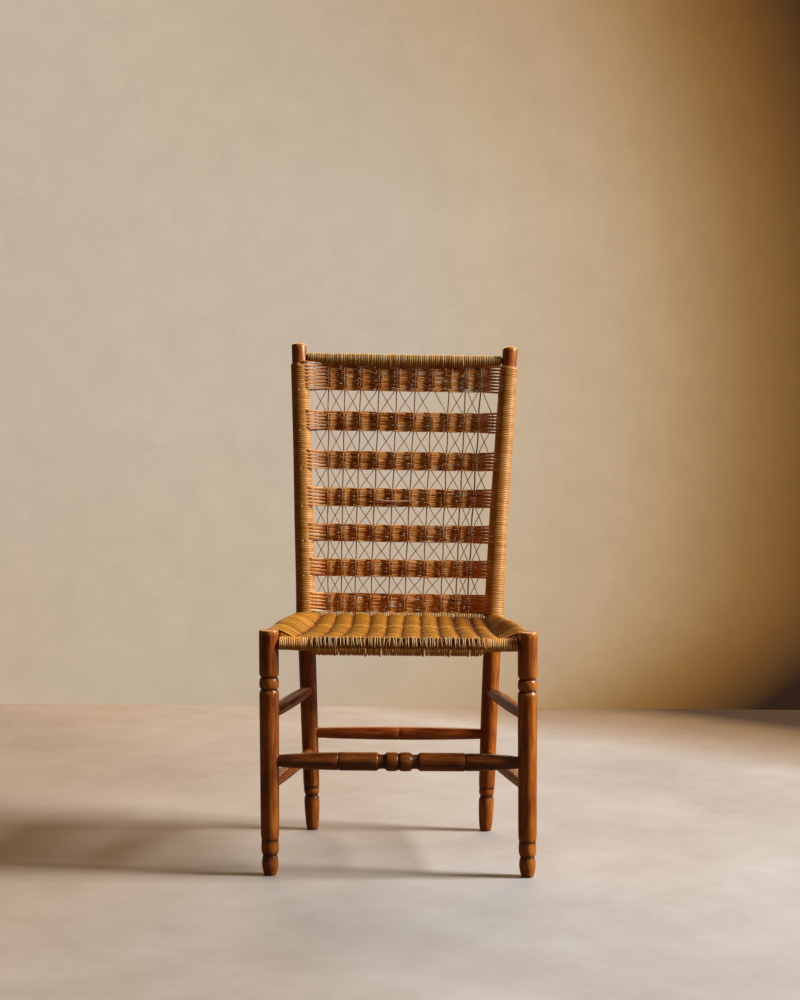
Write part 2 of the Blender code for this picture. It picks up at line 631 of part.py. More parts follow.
def crossed_outline(column, edges):
    """Outer outline and inner gaps of two strands that cross in each open row, in (across, height)."""
    half = STRAND_WIDTH / 2
    tops = [edges[0][0] - STRAND_TUCK] + [top for top, _ in edges[1:]]
    feet = [foot for _, foot in edges[:-1]] + [edges[-1][1] + STRAND_TUCK]
    spans = list(zip(tops, feet))

    def crossing(i):
        height = (spans[i][1] + spans[i + 1][0]) / 2
        left, right = strand_line(column, -1, height), strand_line(column, 1, height)
        slope = (right - left) / (spans[i][1] - spans[i + 1][0])
        return (left + right) / 2, height, half * math.hypot(1, slope), half * math.hypot(1, 1 / slope)

    left_side, right_side, gaps = [], [], []
    for i, (top, foot) in enumerate(spans):
        for height in (top, foot):
            left_side.append((strand_line(column, -1, height) - half, height))
            right_side.append((strand_line(column, 1, height) + half, height))
        if i < len(spans) - 1:
            middle, height, wide, _ = crossing(i)
            left_side.append((middle - wide, height))
            right_side.append((middle + wide, height))
    for i in range(1, len(spans) - 1):
        top, foot = spans[i]
        above, below = crossing(i - 1), crossing(i)
        gap = [(above[0], above[1] - above[3])]
        gap += [(strand_line(column, -1, height) + half, height) for height in (top, foot)]
        gap.append((below[0], below[1] + below[3]))
        gap += [(strand_line(column, 1, height) - half, height) for height in (foot, top)]
        gaps.append(gap)
    first, last = crossing(0), crossing(len(spans) - 2)
    head = [(strand_line(column, 1, tops[0]) - half, tops[0]),
            (strand_line(column, 1, feet[0]) - half, feet[0]),
            (first[0], first[1] + first[3]),
            (strand_line(column, -1, feet[0]) + half, feet[0]),
            (strand_line(column, -1, tops[0]) + half, tops[0])]
    toe = [(strand_line(column, -1, feet[-1]) + half, feet[-1]),
           (strand_line(column, -1, tops[-1]) + half, tops[-1]),
           (last[0], last[1] - last[3]),
           (strand_line(column, 1, tops[-1]) - half, tops[-1]),
           (strand_line(column, 1, feet[-1]) - half, feet[-1])]
    return left_side + toe + right_side[::-1] + head, gaps


def make_crossed_strands(column, edges):
    """A flat piece of two crossing strands, laid in the plane of the back."""
    outline, gaps = crossed_outline(column, edges)
    curve = bpy.data.curves.new(f"crossed_strands_{column + 1:02d}", "CURVE")
    curve.dimensions = "2D"
    curve.fill_mode = "BOTH"
    curve.extrude = STRAND_WIDTH / 2
    slope = (POST_TOP_DEPTH - POST_SEAT_DEPTH) / (BACK_HEIGHT - SEAT_LEVEL)
    stretch = math.hypot(1, slope)
    for loop in [outline] + gaps:
        spline = curve.splines.new("POLY")
        spline.use_cyclic_u = True
        spline.points.add(len(loop) - 1)
        for point, (across, height) in zip(spline.points, loop):
            point.co = (across, (height - SEAT_LEVEL) * stretch, 0, 1)
    made = add_object(curve.name, curve, RATTAN)
    made.location = (0, POST_SEAT_DEPTH, SEAT_LEVEL)
    made.rotation_euler = (math.pi / 2 - math.atan(slope), 0, 0)
    return made


def make_box(name, corners, material):
    """A six-sided block from its lower and upper four corners."""
    work = bmesh.new()
    bmesh.ops.create_cube(work, size=1)
    for vert in work.verts:
        level = 0 if vert.co.z < 0 else 4
        turn = (0 if vert.co.x < 0 else 1) + (0 if vert.co.y < 0 else 2)
        vert.co = corners[level + turn]
    mesh = bpy.data.meshes.new(name)
    work.to_mesh(mesh)
    work.free()
    return add_object(name, mesh, material)


def upright_block(name, left_of, right_of, foot, top, thickness, material):
    """A block in the plane of the back between two lines, each a function of height."""
    corners = []
    for height in (foot, top):
        for out in (-thickness / 2, thickness / 2):
            corners.append(back_point(left_of(height), height, out))
            corners.append(back_point(right_of(height), height, out))
    return make_box(name, corners, material)


def make_warp_slots(edges):
    """The cutters for the slots that the stakes and strands run through, one beside the next."""
    side_room = STRAND_WIDTH / 2 + FIT_GAP
    depth = 2 * (STAKE_RADIUS + FIT_GAP)
    foot, top = edges[-1][1] - OVERRUN, edges[0][0] + OVERRUN
    slots = []
    for number in range(STAKE_COUNT):
        reach = STRAND_OFFSET + side_room

        def left(height, number=number, reach=reach):
            return stake_line(number, height) - reach

        def right(height, number=number, reach=reach):
            return stake_line(number, height) + reach

        slots.append(upright_block(f"warp_slot_{number + 1:02d}", left, right, foot, top, depth, None))
    for side, column in ((-1, 0), (1, STAKE_COUNT)):

        def inner(height, side=side, column=column):
            return strand_line(column, side, height) - side_room

        def outer(height, side=side, column=column):
            return strand_line(column, side, height) + side_room

        slots.append(upright_block(f"edge_slot_{column:02d}", inner, outer, foot, top, depth, None))
    return [make_cutter(slot) for slot in slots]


def make_back():
    """Weft bands, crossed strands and their slots."""
    edges = band_edges()
    slots = make_warp_slots(edges)

    def left(height):
        return -post_half_spacing(height) + wound_post_radius(height) + FIT_GAP

    def right(height):
        return -left(height)

    for i, (top, foot) in enumerate(edges):
        band = upright_block(f"weft_band_{i + 1}", left, right, foot, top, BAND_THICKNESS, RATTAN)
        for slot in slots:
            cut(band, slot)
    for column in range(STAKE_COUNT + 1):
        make_crossed_strands(column, edges)


# Wound strands

def winding(name, axis_of, radius_of, loops, points_per_loop, strand, start_angle=0.0):
    """One unbroken strand wound round a member, with straight ends, and its least gap to itself."""
    total = loops * points_per_loop
    points = []
    for i in range(total + 1):
        share = i / total
        centre = axis_of(share)
        ahead = axis_of(min(1, share + 1 / total)) - axis_of(max(0, share - 1 / total))
        forward = ahead.normalized()
        across = forward.cross(Vector((0, 1, 0))).normalized()
        other = forward.cross(across)
        angle = start_angle + 2 * math.pi * i / points_per_loop
        points.append(centre + radius_of(share) * (across * math.cos(angle) + other * math.sin(angle)))
    first = points[0] + (points[0] - points[1]).normalized() * 2 * strand
    last = points[-1] + (points[-1] - points[-2]).normalized() * 2 * strand
    points = [first] + points + [last]
    least = min(
        (points[i] - points[j]).length
        for i in range(len(points))
        for j in range(i + points_per_loop // 2, min(len(points), i + 2 * points_per_loop))
    )
    gap = least - 2 * strand
    print(f"{name}: {loops} loops, least gap to itself {gap * 1000:.1f} mm, over {WINDING_SELF_GAP * 1000:.1f}")
    return tube(name, points, [strand] * len(points), WINDING_BEVEL_RESOLUTION)


def top_winding_reach(turn):
    """How far across the top rail's winding is after so many turns: one turn from stake to stake."""
    edge = post_half_spacing(TOP_RAIL_LEVEL) - post_radius(TOP_RAIL_LEVEL) - TOP_WINDING_INSET
    last = stake_line(STAKE_COUNT - 1, TOP_RAIL_LEVEL)
    if turn < 1:
        return lerp(-edge, -last, turn)
    if turn > STAKE_COUNT:
        return lerp(last, edge, turn - STAKE_COUNT)
    return stake_line(turn - 1, TOP_RAIL_LEVEL)


def make_windings():
    """The strands wound round the posts and rails."""
    low = SEAT_LEVEL + POST_WINDING_START + SEAT_THICKNESS
    high = BACK_HEIGHT - POST_WINDING_BARE_TOP
    for word, side in (("left", -1), ("right", 1)):

        def axis(share, side=side):
            return post_axis(side, lerp(low, high, share))

        def radius(share):
            bare = post_radius(lerp(low, high, share))
            return bare + winding_lift(bare, POST_WINDING_POINTS, WINDING_RADIUS)

        winding("post_winding_" + word, axis, radius, POST_WINDING_LOOPS, POST_WINDING_POINTS, WINDING_RADIUS)

    def rail_winding(name, centre_of, start, end, bare, loops, start_angle):
        reach = bare + winding_lift(bare, RAIL_WINDING_POINTS, RAIL_WINDING_RADIUS)

        def axis(share):
            return centre_of(lerp(start, end, share))

        def radius(_share):
            return reach

        winding(name, axis, radius, loops, RAIL_WINDING_POINTS, RAIL_WINDING_RADIUS, start_angle)

    def on_top_rail(turn):
        return Vector((top_winding_reach(turn), post_lean(TOP_RAIL_LEVEL), TOP_RAIL_LEVEL))

    def on_rear_rail(across):
        return Vector((across, POST_SEAT_DEPTH, SEAT_LEVEL))

    def on_front_rail(across):
        return Vector((across, 0, FRONT_RAIL_LEVEL))

    gaps = STAKE_COUNT - 1
    loops = STAKE_COUNT + 1
    rail_winding("top_rail_winding", on_top_rail, 0, loops, TOP_RAIL_RADIUS, loops, 0)
    rear_half = stake_line(gaps, SEAT_LEVEL)
    rail_winding("rear_rail_winding", on_rear_rail, -rear_half, rear_half, REAR_RAIL_RADIUS, gaps, math.pi)
    front_half = FRONT_LEG_SPACING / 2 - LEG_RADIUS - RAIL_TAPER_LENGTH / 2
    rail_winding("front_rail_winding", on_front_rail, -front_half, front_half, FRONT_RAIL_RADIUS,
                 FRONT_WINDING_LOOPS, math.pi)


# Woven seat

def side_rail_axis(side, depth):
    """A side seat rail's axis at a depth behind the front legs."""
    share = depth / post_lean(SIDE_RAIL_REAR_LEVEL)
    across = lerp(FRONT_LEG_SPACING / 2, post_half_spacing(SIDE_RAIL_REAR_LEVEL), share)
    return side * across, lerp(SIDE_RAIL_FRONT_LEVEL, SIDE_RAIL_REAR_LEVEL, share)


def seat_share(depth):
    """How far back a depth lies between the wound front rail and the wound rear rail."""
    front = wound_rail_radius(FRONT_RAIL_RADIUS) + FIT_GAP
    rear = POST_SEAT_DEPTH - wound_rail_radius(REAR_RAIL_RADIUS) - FIT_GAP
    return (depth - front) / (rear - front)


def seat_stations():
    """Depths of the seat's cross-sections, from just behind the front rail to just before the rear one."""
    front = wound_rail_radius(FRONT_RAIL_RADIUS) + FIT_GAP
    rear = POST_SEAT_DEPTH - wound_rail_radius(REAR_RAIL_RADIUS) - FIT_GAP
    return [lerp(front, rear, i / SEAT_STATIONS) for i in range(SEAT_STATIONS + 1)]


def seat_base(depth):
    """Underside of the seat between its side rails: near the end rails' tops, sagging between them."""
    share = seat_share(depth)
    front, rear = FRONT_RAIL_LEVEL + SEAT_FRONT_RISE, SEAT_LEVEL + SEAT_REAR_RISE
    return lerp(front, rear, share) - SEAT_SAG * math.sin(math.pi * share)


def seat_dip(share, groove):
    """How far the seat hangs lower at a groove, toward its slack rear right corner."""
    part = min(1, max(0, (groove - SEAT_CORNER_START) / SEAT_CORNER_RIBS))
    return SEAT_CORNER_DIP * share * part * part * (3 - 2 * part)


def sleeve_radius(side, share):
    """Outside radius of the weave round a side rail, uneven from front to rear."""
    shares = LEFT_SLEEVE_SHARES if side < 0 else RIGHT_SLEEVE_SHARES
    place = share * (len(shares) - 1)
    station = min(int(place), len(shares) - 2)
    thickness = lerp(shares[station], shares[station + 1], place - station) * SLEEVE_THICKNESS
    return SIDE_RAIL_RADIUS + FIT_GAP + thickness


def sleeve_section(side, depth, groove_x, base):
    """From the last groove up over the panel, round the side rail and back below to the same groove."""
    share = seat_share(depth)
    sleeve = sleeve_radius(side, share)
    across, level = side_rail_axis(1, depth)
    top_x = across + sleeve * math.cos(SLEEVE_SHOULDER_ANGLE)
    top_z = level + sleeve * math.sin(SLEEVE_SHOULDER_ANGLE)
    crown = PANEL_CROWN if side < 0 else 0
    points = []
    for i in range(1, PANEL_POINTS):
        part = i / PANEL_POINTS
        eased = lerp(part, part * part * (3 - 2 * part), PANEL_EASE_SHARE)
        height = lerp(base + SEAT_THICKNESS, top_z, eased) + crown * math.sin(math.pi * part)
        points.append((lerp(groove_x, top_x, part), height))
    points.append((top_x, top_z))
    under_angle = -math.pi - math.asin((base - level) / sleeve)
    for i in range(SLEEVE_POINTS + 1):
        angle = lerp(SLEEVE_TOP_ANGLE, under_angle, i / SLEEVE_POINTS)
        points.append((across + sleeve * math.cos(angle), level + sleeve * math.sin(angle)))
    return points


def seat_section(depth):
    """One cross-section of the seat, ribbed on top, thin below, with a sleeve round each side rail."""
    share = seat_share(depth)
    base = seat_base(depth)
    across = side_rail_axis(1, depth)[0]
    grooves = [across * lerp(near, far, share) for near, far in zip(GROOVE_FRONT_SHARES, GROOVE_REAR_SHARES)]
    above = []
    for i in range(RIB_COUNT * RIB_POINTS + 1):
        rib = min(i // RIB_POINTS, RIB_COUNT - 1)
        x = lerp(grooves[rib], grooves[rib + 1], i / RIB_POINTS - rib)
        height = base - seat_dip(share, i / RIB_POINTS) + SEAT_THICKNESS
        above.append((x, height + RIB_HEIGHT * RIB_PROFILE_SHARES[i % RIB_POINTS]))
    corner = base - seat_dip(share, RIB_COUNT)
    right = sleeve_section(1, depth, grooves[-1], corner)
    below = [(x, base - seat_dip(share, groove)) for groove, x in enumerate(grooves)]
    left = [(-x, z) for x, z in sleeve_section(-1, depth, -grooves[0], base)]
    return [Vector((x, depth, z)) for x, z in above + right + below[::-1] + left[::-1]]


def make_seat():
    """The woven seat, lofted from front to rear, cut clear of its rails, legs and posts."""
    work = bmesh.new()
    rings = []
    for depth in seat_stations():
        rings.append([work.verts.new(point) for point in seat_section(depth)])
    for near, far in zip(rings, rings[1:]):
        for i in range(len(near)):
            j = (i + 1) % len(near)
            work.faces.new((near[i], near[j], far[j], far[i]))
    work.faces.new(reversed(rings[0]))
    work.faces.new(rings[-1])
    bmesh.ops.recalc_face_normals(work, faces=work.faces)
    mesh = bpy.data.meshes.new("seat_weave")
    work.to_mesh(mesh)
    work.free()
    seat = add_object("seat_weave", mesh, RATTAN)
    for word, side in (("left", -1), ("right", 1)):
        near, far = -OVERRUN, POST_SEAT_DEPTH + OVERRUN
        near_x, near_z = side_rail_axis(side, near)
        far_x, far_z = side_rail_axis(side, far)
        start, end = Vector((near_x, near, near_z)), Vector((far_x, far, far_z))
        bore = [(0, SIDE_RAIL_RADIUS + FIT_GAP), ((end - start).length, SIDE_RAIL_RADIUS + FIT_GAP)]
        cut(seat, make_cutter(turned("side_bore_" + word, bore, start, end, PLAIN_STEPS, None)))
        reach = 2 * SIDE_RAIL_RADIUS + SLEEVE_THICKNESS
        low, high = SEAT_LEVEL - 2 * reach, SEAT_LEVEL + 2 * reach
        leg_inner = side * (FRONT_LEG_SPACING / 2 - LEG_RADIUS - FIT_GAP)
        leg_outer = side * (FRONT_LEG_SPACING / 2 + reach)
        leg_rear = LEG_RADIUS + FIT_GAP
        post_inner = side * (post_half_spacing(SEAT_LEVEL) - POST_SEAT_RADIUS - FIT_GAP)
        post_front = POST_SEAT_DEPTH - POST_SEAT_RADIUS - FIT_GAP
        for name, inner, outer, near_y, far_y in (
            ("leg_notch_", leg_inner, leg_outer, -reach, leg_rear),
            ("post_notch_", post_inner, leg_outer, post_front, POST_SEAT_DEPTH + reach),
        ):
            x0, x1 = sorted((inner, outer))
            corners = [Vector((x, y, z)) for z in (low, high) for y in (near_y, far_y) for x in (x0, x1)]
            cut(seat, make_cutter(make_box(name + word, corners, None)))
    return seat


def centre_under_chair():
    """Carry every piece on an empty placed so that the origin is under the middle of the outline."""
    bpy.context.view_layer.update()
    graph = bpy.context.evaluated_depsgraph_get()
    depths = []
    for piece in CHAIR.objects:
        solid = piece.evaluated_get(graph)
        mesh = solid.to_mesh()
        depths += [(solid.matrix_world @ vert.co).y for vert in mesh.vertices]
        solid.to_mesh_clear()
    root = bpy.data.objects.new("chair", None)
    CHAIR.objects.link(root)
    for piece in list(CHAIR.objects) + list(CUTTERS.objects):
        if piece is not root:
            piece.parent = root
    root.location.y = -(min(depths) + max(depths)) / 2
    print(f"front legs at y = {root.location.y * 1000:.1f} mm")


CREST, REAR_RAIL = make_frame()
make_stakes(CREST, REAR_RAIL)
make_back()
make_windings()
make_seat()
centre_under_chair()
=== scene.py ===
"""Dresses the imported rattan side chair: turned wood, split-rattan weave, studio and camera.

Everything is in metres in the model's own frame: +Z up, the chair faces -Y, the floor is z = 0.
"""

import logging
import math
import random
from dataclasses import dataclass
from enum import Enum
from typing import Callable, Sequence

import bmesh
import bpy
import numpy as np
from mathutils import Matrix, Vector

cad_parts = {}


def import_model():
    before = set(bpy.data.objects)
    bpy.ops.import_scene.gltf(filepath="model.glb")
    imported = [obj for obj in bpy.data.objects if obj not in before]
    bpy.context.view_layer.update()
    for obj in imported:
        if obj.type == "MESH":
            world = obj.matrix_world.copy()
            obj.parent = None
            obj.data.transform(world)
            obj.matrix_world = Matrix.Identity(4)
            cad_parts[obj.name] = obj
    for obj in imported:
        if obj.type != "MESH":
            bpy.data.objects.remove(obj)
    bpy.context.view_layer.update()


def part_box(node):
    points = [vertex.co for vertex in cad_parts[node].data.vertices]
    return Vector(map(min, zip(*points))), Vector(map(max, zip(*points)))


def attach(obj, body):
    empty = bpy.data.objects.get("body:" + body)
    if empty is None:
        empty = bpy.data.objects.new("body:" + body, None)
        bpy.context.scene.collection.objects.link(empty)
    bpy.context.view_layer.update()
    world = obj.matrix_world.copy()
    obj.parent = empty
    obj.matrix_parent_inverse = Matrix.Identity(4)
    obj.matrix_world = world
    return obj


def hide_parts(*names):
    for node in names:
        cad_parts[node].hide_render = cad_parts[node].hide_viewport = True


LOG = logging.getLogger("rattan_chair")
SIDES = {"left": -1, "right": 1}

# A range or a flat point, a point in space or on a lathe outline, and a node's input or output.
Pair = tuple[float, float]
Point = tuple[float, float, float]
Socket = bpy.types.NodeSocket


# Small helpers


def linear(hex_code: str) -> tuple[float, float, float, float]:
    """Turn an sRGB hex colour into linear RGBA.

    Args:
        hex_code: six hex digits, such as "8A4B20".

    Returns:
        The colour as Blender's shaders take it.
    """
    channels = [int(hex_code[i : i + 2], 16) / 255 for i in (0, 2, 4)]
    flat = [c / 12.92 if c <= 0.04045 else ((c + 0.055) / 1.055) ** 2.4 for c in channels]
    return (*flat, 1.0)


def lerp(a: float, b: float, share: float) -> float:
    """Return the value a share of the way from a to b."""
    return a + (b - a) * share


def smooth(share: float) -> float:
    """Return a share eased at both ends, held between 0 and 1."""
    held = min(1.0, max(0.0, share))
    return held * held * (3 - 2 * held)


def skew(share: float, middle: float) -> float:
    """Bend a share from 0 to 1 so that it passes one half at the middle given."""
    return 0.5 * share / middle if share < middle else 0.5 + 0.5 * (share - middle) / (1 - middle)


def through(points: Sequence[tuple[float, ...]], per_span: int, closed: bool = True) -> list[tuple[float, ...]]:
    """Sample a smooth curve through points.

    Args:
        points: the corners that the curve passes through, in order.
        per_span: samples from each corner to the next.
        closed: whether it runs on from the last corner to the first.

    Returns:
        The samples of a Catmull-Rom curve.
    """
    count = len(points)
    found = [] if closed else [tuple(points[0])]
    for i in range(count if closed else count - 1):
        near = [(i + k) % count if closed else min(max(i + k, 0), count - 1) for k in (-1, 0, 1, 2)]
        p0, p1, p2, p3 = (points[k] for k in near)
        for j in range(per_span):
            t = j / per_span if closed else (j + 1) / per_span
            found.append(
                tuple(
                    0.5
                    * (
                        2 * p1[k]
                        + (p2[k] - p0[k]) * t
                        + (2 * p0[k] - 5 * p1[k] + 4 * p2[k] - p3[k]) * t * t
                        + (3 * p1[k] - p0[k] - 3 * p2[k] + p3[k]) * t * t * t
                    )
                    for k in range(len(p1))
                )
            )
    return found


def add_node(
    tree: bpy.types.NodeTree, kind: str, settings: dict | None = None, inputs: dict | None = None
) -> bpy.types.Node:
    """Add a shader node, set it up and link it.

    Args:
        tree: the node tree it goes in.
        kind: the node's type name after "ShaderNode".
        settings: properties to set on the node.
        inputs: per input name or number, an output to link, a hex colour or another value to hold.

    Returns:
        The node.
    """
    node = tree.nodes.new(f"ShaderNode{kind}")
    for name, value in (settings or {}).items():
        setattr(node, name, value)
    for key, value in (inputs or {}).items():
        if isinstance(value, bpy.types.NodeSocket):
            tree.links.new(value, node.inputs[key])
        else:
            node.inputs[key].default_value = linear(value) if isinstance(value, str) else value
    return node


class Shading:
    """The shader nodes of a material or of the world. Each method adds one node and returns its output."""

    def __init__(self, owner: bpy.types.Material | bpy.types.World, output: str) -> None:
        """Empty the owner's nodes and give it its output node.

        Args:
            owner: the material or world.
            output: the output node's type name after "ShaderNode".
        """
        owner.use_nodes = True
        self.tree = owner.node_tree
        self.tree.nodes.clear()
        self.output = add_node(self.tree, output)

    def read(self, kind: str, output: str | int = 0, **settings: str) -> Socket:
        """Read an output of a node without inputs, such as a coordinate."""
        return add_node(self.tree, kind, settings).outputs[output]

    def split(self, vector: Socket) -> list[Socket]:
        """Split a vector into its three parts."""
        return list(add_node(self.tree, "SeparateXYZ", None, {0: vector}).outputs)

    def math(self, operation: str, *values: Socket | float, clamp: bool = False) -> Socket:
        """Work out a number from others."""
        settings = {"operation": operation, "use_clamp": clamp}
        return add_node(self.tree, "Math", settings, dict(enumerate(values))).outputs[0]

    def remap(self, value: Socket, *limits: float) -> Socket:
        """Carry a value from a range (low, high) to another, which is 0 to 1 if it isn't given."""
        return add_node(self.tree, "MapRange", None, dict(enumerate((value, *limits)))).outputs[0]

    def noise(self, place: Socket, scale: float, detail: float, roughness: float = 0.5, bend: float = 0.0) -> Socket:
        """Read cloudy noise at a place."""
        inputs = {"Vector": place, "Scale": scale, "Detail": detail, "Roughness": roughness, "Distortion": bend}
        return add_node(self.tree, "TexNoise", None, inputs).outputs[0]

    def stretch(self, place: Socket, scales: tuple[float, float, float]) -> Socket:
        """Scale a place's three parts, so that what is drawn on it stretches."""
        return add_node(self.tree, "Mapping", None, {"Vector": place, "Scale": scales}).outputs[0]

    def mix(self, share: Socket | float, under: Socket | str, over: Socket | str, blend: str = "MIX") -> Socket:
        """Mix a share of a colour over another."""
        settings = {"data_type": "RGBA", "blend_type": blend}
        return add_node(self.tree, "Mix", settings, {0: share, 6: under, 7: over}).outputs[2]

    def dim(self, colour: Socket, level: Socket) -> Socket:
        """Scale a colour."""
        return add_node(self.tree, "VectorMath", {"operation": "SCALE"}, {0: colour, "Scale": level}).outputs[0]

    def bump(self, height: Socket, strength: float, distance: float) -> Socket:
        """Turn a height into a roughened normal."""
        inputs = {"Height": height, "Strength": strength, "Distance": distance}
        return add_node(self.tree, "Bump", None, inputs).outputs[0]

    def glow(self, colour: Socket | str, strength: float) -> Socket:
        """Shine with a colour."""
        return add_node(self.tree, "Background", None, {"Color": colour, "Strength": strength}).outputs[0]

    def ramp(self, share: Socket, stops: Sequence[tuple[float, str]]) -> Socket:
        """Pick a colour from a ramp.

        Args:
            share: where on the ramp, 0 to 1.
            stops: two or more (position, hex colour) from low to high.

        Returns:
            The colour.
        """
        node = add_node(self.tree, "ValToRGB", None, {"Fac": share})
        stock = node.color_ramp.elements
        for i, (position, colour) in enumerate(stops):
            stop = stock[i] if i < 2 else stock.new(position)
            stop.position = position
            stop.color = linear(colour)
        return node.outputs[0]

    def end(self, kind: str, inputs: dict) -> None:
        """End in a shader with these inputs."""
        self.tree.links.new(add_node(self.tree, kind, None, inputs).outputs[0], self.output.inputs[0])


def new_object(name: str, data: bpy.types.ID) -> bpy.types.Object:
    """Make an object at the origin and link it to the scene.

    Args:
        name: the object's name.
        data: its mesh, curve, lamp or camera.

    Returns:
        The object.
    """
    made = bpy.data.objects.new(name, data)
    bpy.context.scene.collection.objects.link(made)
    return made


def mesh_from(work: bmesh.types.BMesh, name: str) -> bpy.types.Mesh:
    """Turn a finished working mesh into a mesh and free it.

    Args:
        work: the working mesh.
        name: the mesh's name.

    Returns:
        The mesh.
    """
    mesh = bpy.data.meshes.new(name)
    work.to_mesh(mesh)
    work.free()
    return mesh


@dataclass(frozen=True)
class Settling:
    """How an old chair's joints have settled: its legs and posts lean a few millimetres sideways."""

    front_leg_y: float = -0.2183
    depth: float = 0.366
    leg_height: float = 0.4545
    leg_lean: float = -0.0048
    post_heights: tuple[float, ...] = (0.0, 0.087, 0.216, 0.36, 0.49, 0.64, 0.785, 0.992)
    post_leans: tuple[float, ...] = (0.0, -0.0005, -0.0014, -0.0019, -0.0016, -0.0008, 0.0016, 0.0037)
    tilt: float = -0.0095
    tilt_from: float = 0.895
    tilt_length: float = 0.05

    def apply(self, mesh: bpy.types.Mesh) -> None:
        """Move a mesh's points to where the settled frame carries them.

        Args:
            mesh: the mesh, in the chair's frame.
        """
        places = np.empty(len(mesh.vertices) * 3, dtype=np.float32)
        mesh.vertices.foreach_get("co", places)
        places = places.reshape(-1, 3)
        back = np.clip((places[:, 1] - self.front_leg_y) / self.depth, 0, 1)
        front_shift = self.leg_lean * np.clip(places[:, 2] / self.leg_height, 0, 1)
        rear_shift = np.interp(places[:, 2], self.post_heights, self.post_leans)
        rise = np.clip((places[:, 2] - self.tilt_from) / self.tilt_length, 0, 1)
        places[:, 2] += self.tilt * places[:, 0] * rise * rise * (3 - 2 * rise)
        places[:, 0] += front_shift * (1 - back) + rear_shift * back
        mesh.vertices.foreach_set("co", places.ravel())
        mesh.update()


def finish_piece(piece: bpy.types.Object, material: bpy.types.Material, nodes: Sequence[str]) -> None:
    """Settle a piece with the frame, give it its finish and body, and hide the CAD nodes that it replaces.

    Args:
        piece: the new object.
        material: the finish.
        nodes: names of the CAD nodes that the piece replaces.
    """
    Settling().apply(piece.data)
    piece.data.materials.clear()
    piece.data.materials.append(material)
    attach(piece, "root")
    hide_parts(*nodes)
    LOG.info("%s: %d faces, for %s", piece.name, len(piece.data.polygons), ", ".join(nodes))


# Finishes


class Grain(Enum):
    """The direction that a piece's wood grain runs in."""

    ALONG_X = (0.06, 1.0, 1.0)
    ALONG_Y = (1.0, 0.06, 1.0)
    ALONG_Z = (1.0, 1.0, 0.06)


@dataclass(frozen=True)
class StainedBeech:
    """Turned beech under a dark red-brown stain and an old varnish.

    The stain gives fine dark streaks along the grain, sinks dark into every groove and rubs
    through to orange on shoulders and edges; the varnish gives a soft gloss.
    """

    grain: Grain
    streak: str = "5A2208"
    body: str = "A95312"
    rubbed: str = "DC8A26"
    sunk: str = "220E06"
    streak_mm: float = 2.2
    cloud_mm: float = 70.0
    roughness: float = 0.3
    most_rubbed: float = 0.7
    most_sunk: float = 0.88

    def make(self) -> bpy.types.Material:
        """Build the node material.

        Returns:
            The material.
        """
        material = bpy.data.materials.new(f"stained_beech_{self.grain.name.lower()}")
        nodes = Shading(material, "OutputMaterial")
        place = nodes.read("TexCoord", "Object")
        # Fine and wide streaks run along the grain, over broad clouds of stain.
        drawn = nodes.stretch(place, self.grain.value)
        fine = nodes.noise(drawn, 1000 / self.streak_mm, 5.0, 0.65, 0.4)
        wide = nodes.noise(drawn, 250 / self.streak_mm, 3.0)
        cloud = nodes.noise(place, 1000 / self.cloud_mm, 3.0)
        streaks = nodes.math("MULTIPLY_ADD", cloud, 0.7, nodes.math("MULTIPLY_ADD", wide, 0.9, fine))
        stops = [(0.0, self.streak), (0.45, self.body), (1.0, self.rubbed)]
        colour = nodes.ramp(nodes.remap(streaks, 0.95, 1.65), stops)
        # Shoulders are rubbed through to orange, and grooves keep the stain and old polish.
        recess = nodes.read("Attribute", "Fac", attribute_name="recess")
        colour = nodes.mix(nodes.remap(recess, 0.0, -1.0, 0.0, self.most_rubbed), colour, self.rubbed)
        colour = nodes.mix(nodes.remap(recess, 0.0, 1.0, 0.0, self.most_sunk), colour, self.sunk)
        # The varnish: a soft gloss, duller along the streaks.
        varnish = {
            "Base Color": colour,
            "Roughness": nodes.remap(fine, 0.3, 0.7, self.roughness - 0.07, self.roughness + 0.12),
            "Normal": nodes.bump(fine, 0.12, 0.0003),
            "IOR": 1.5,
            "Coat Weight": 0.35,
            "Coat Roughness": 0.16,
        }
        nodes.end("BsdfPrincipled", varnish)
        return material


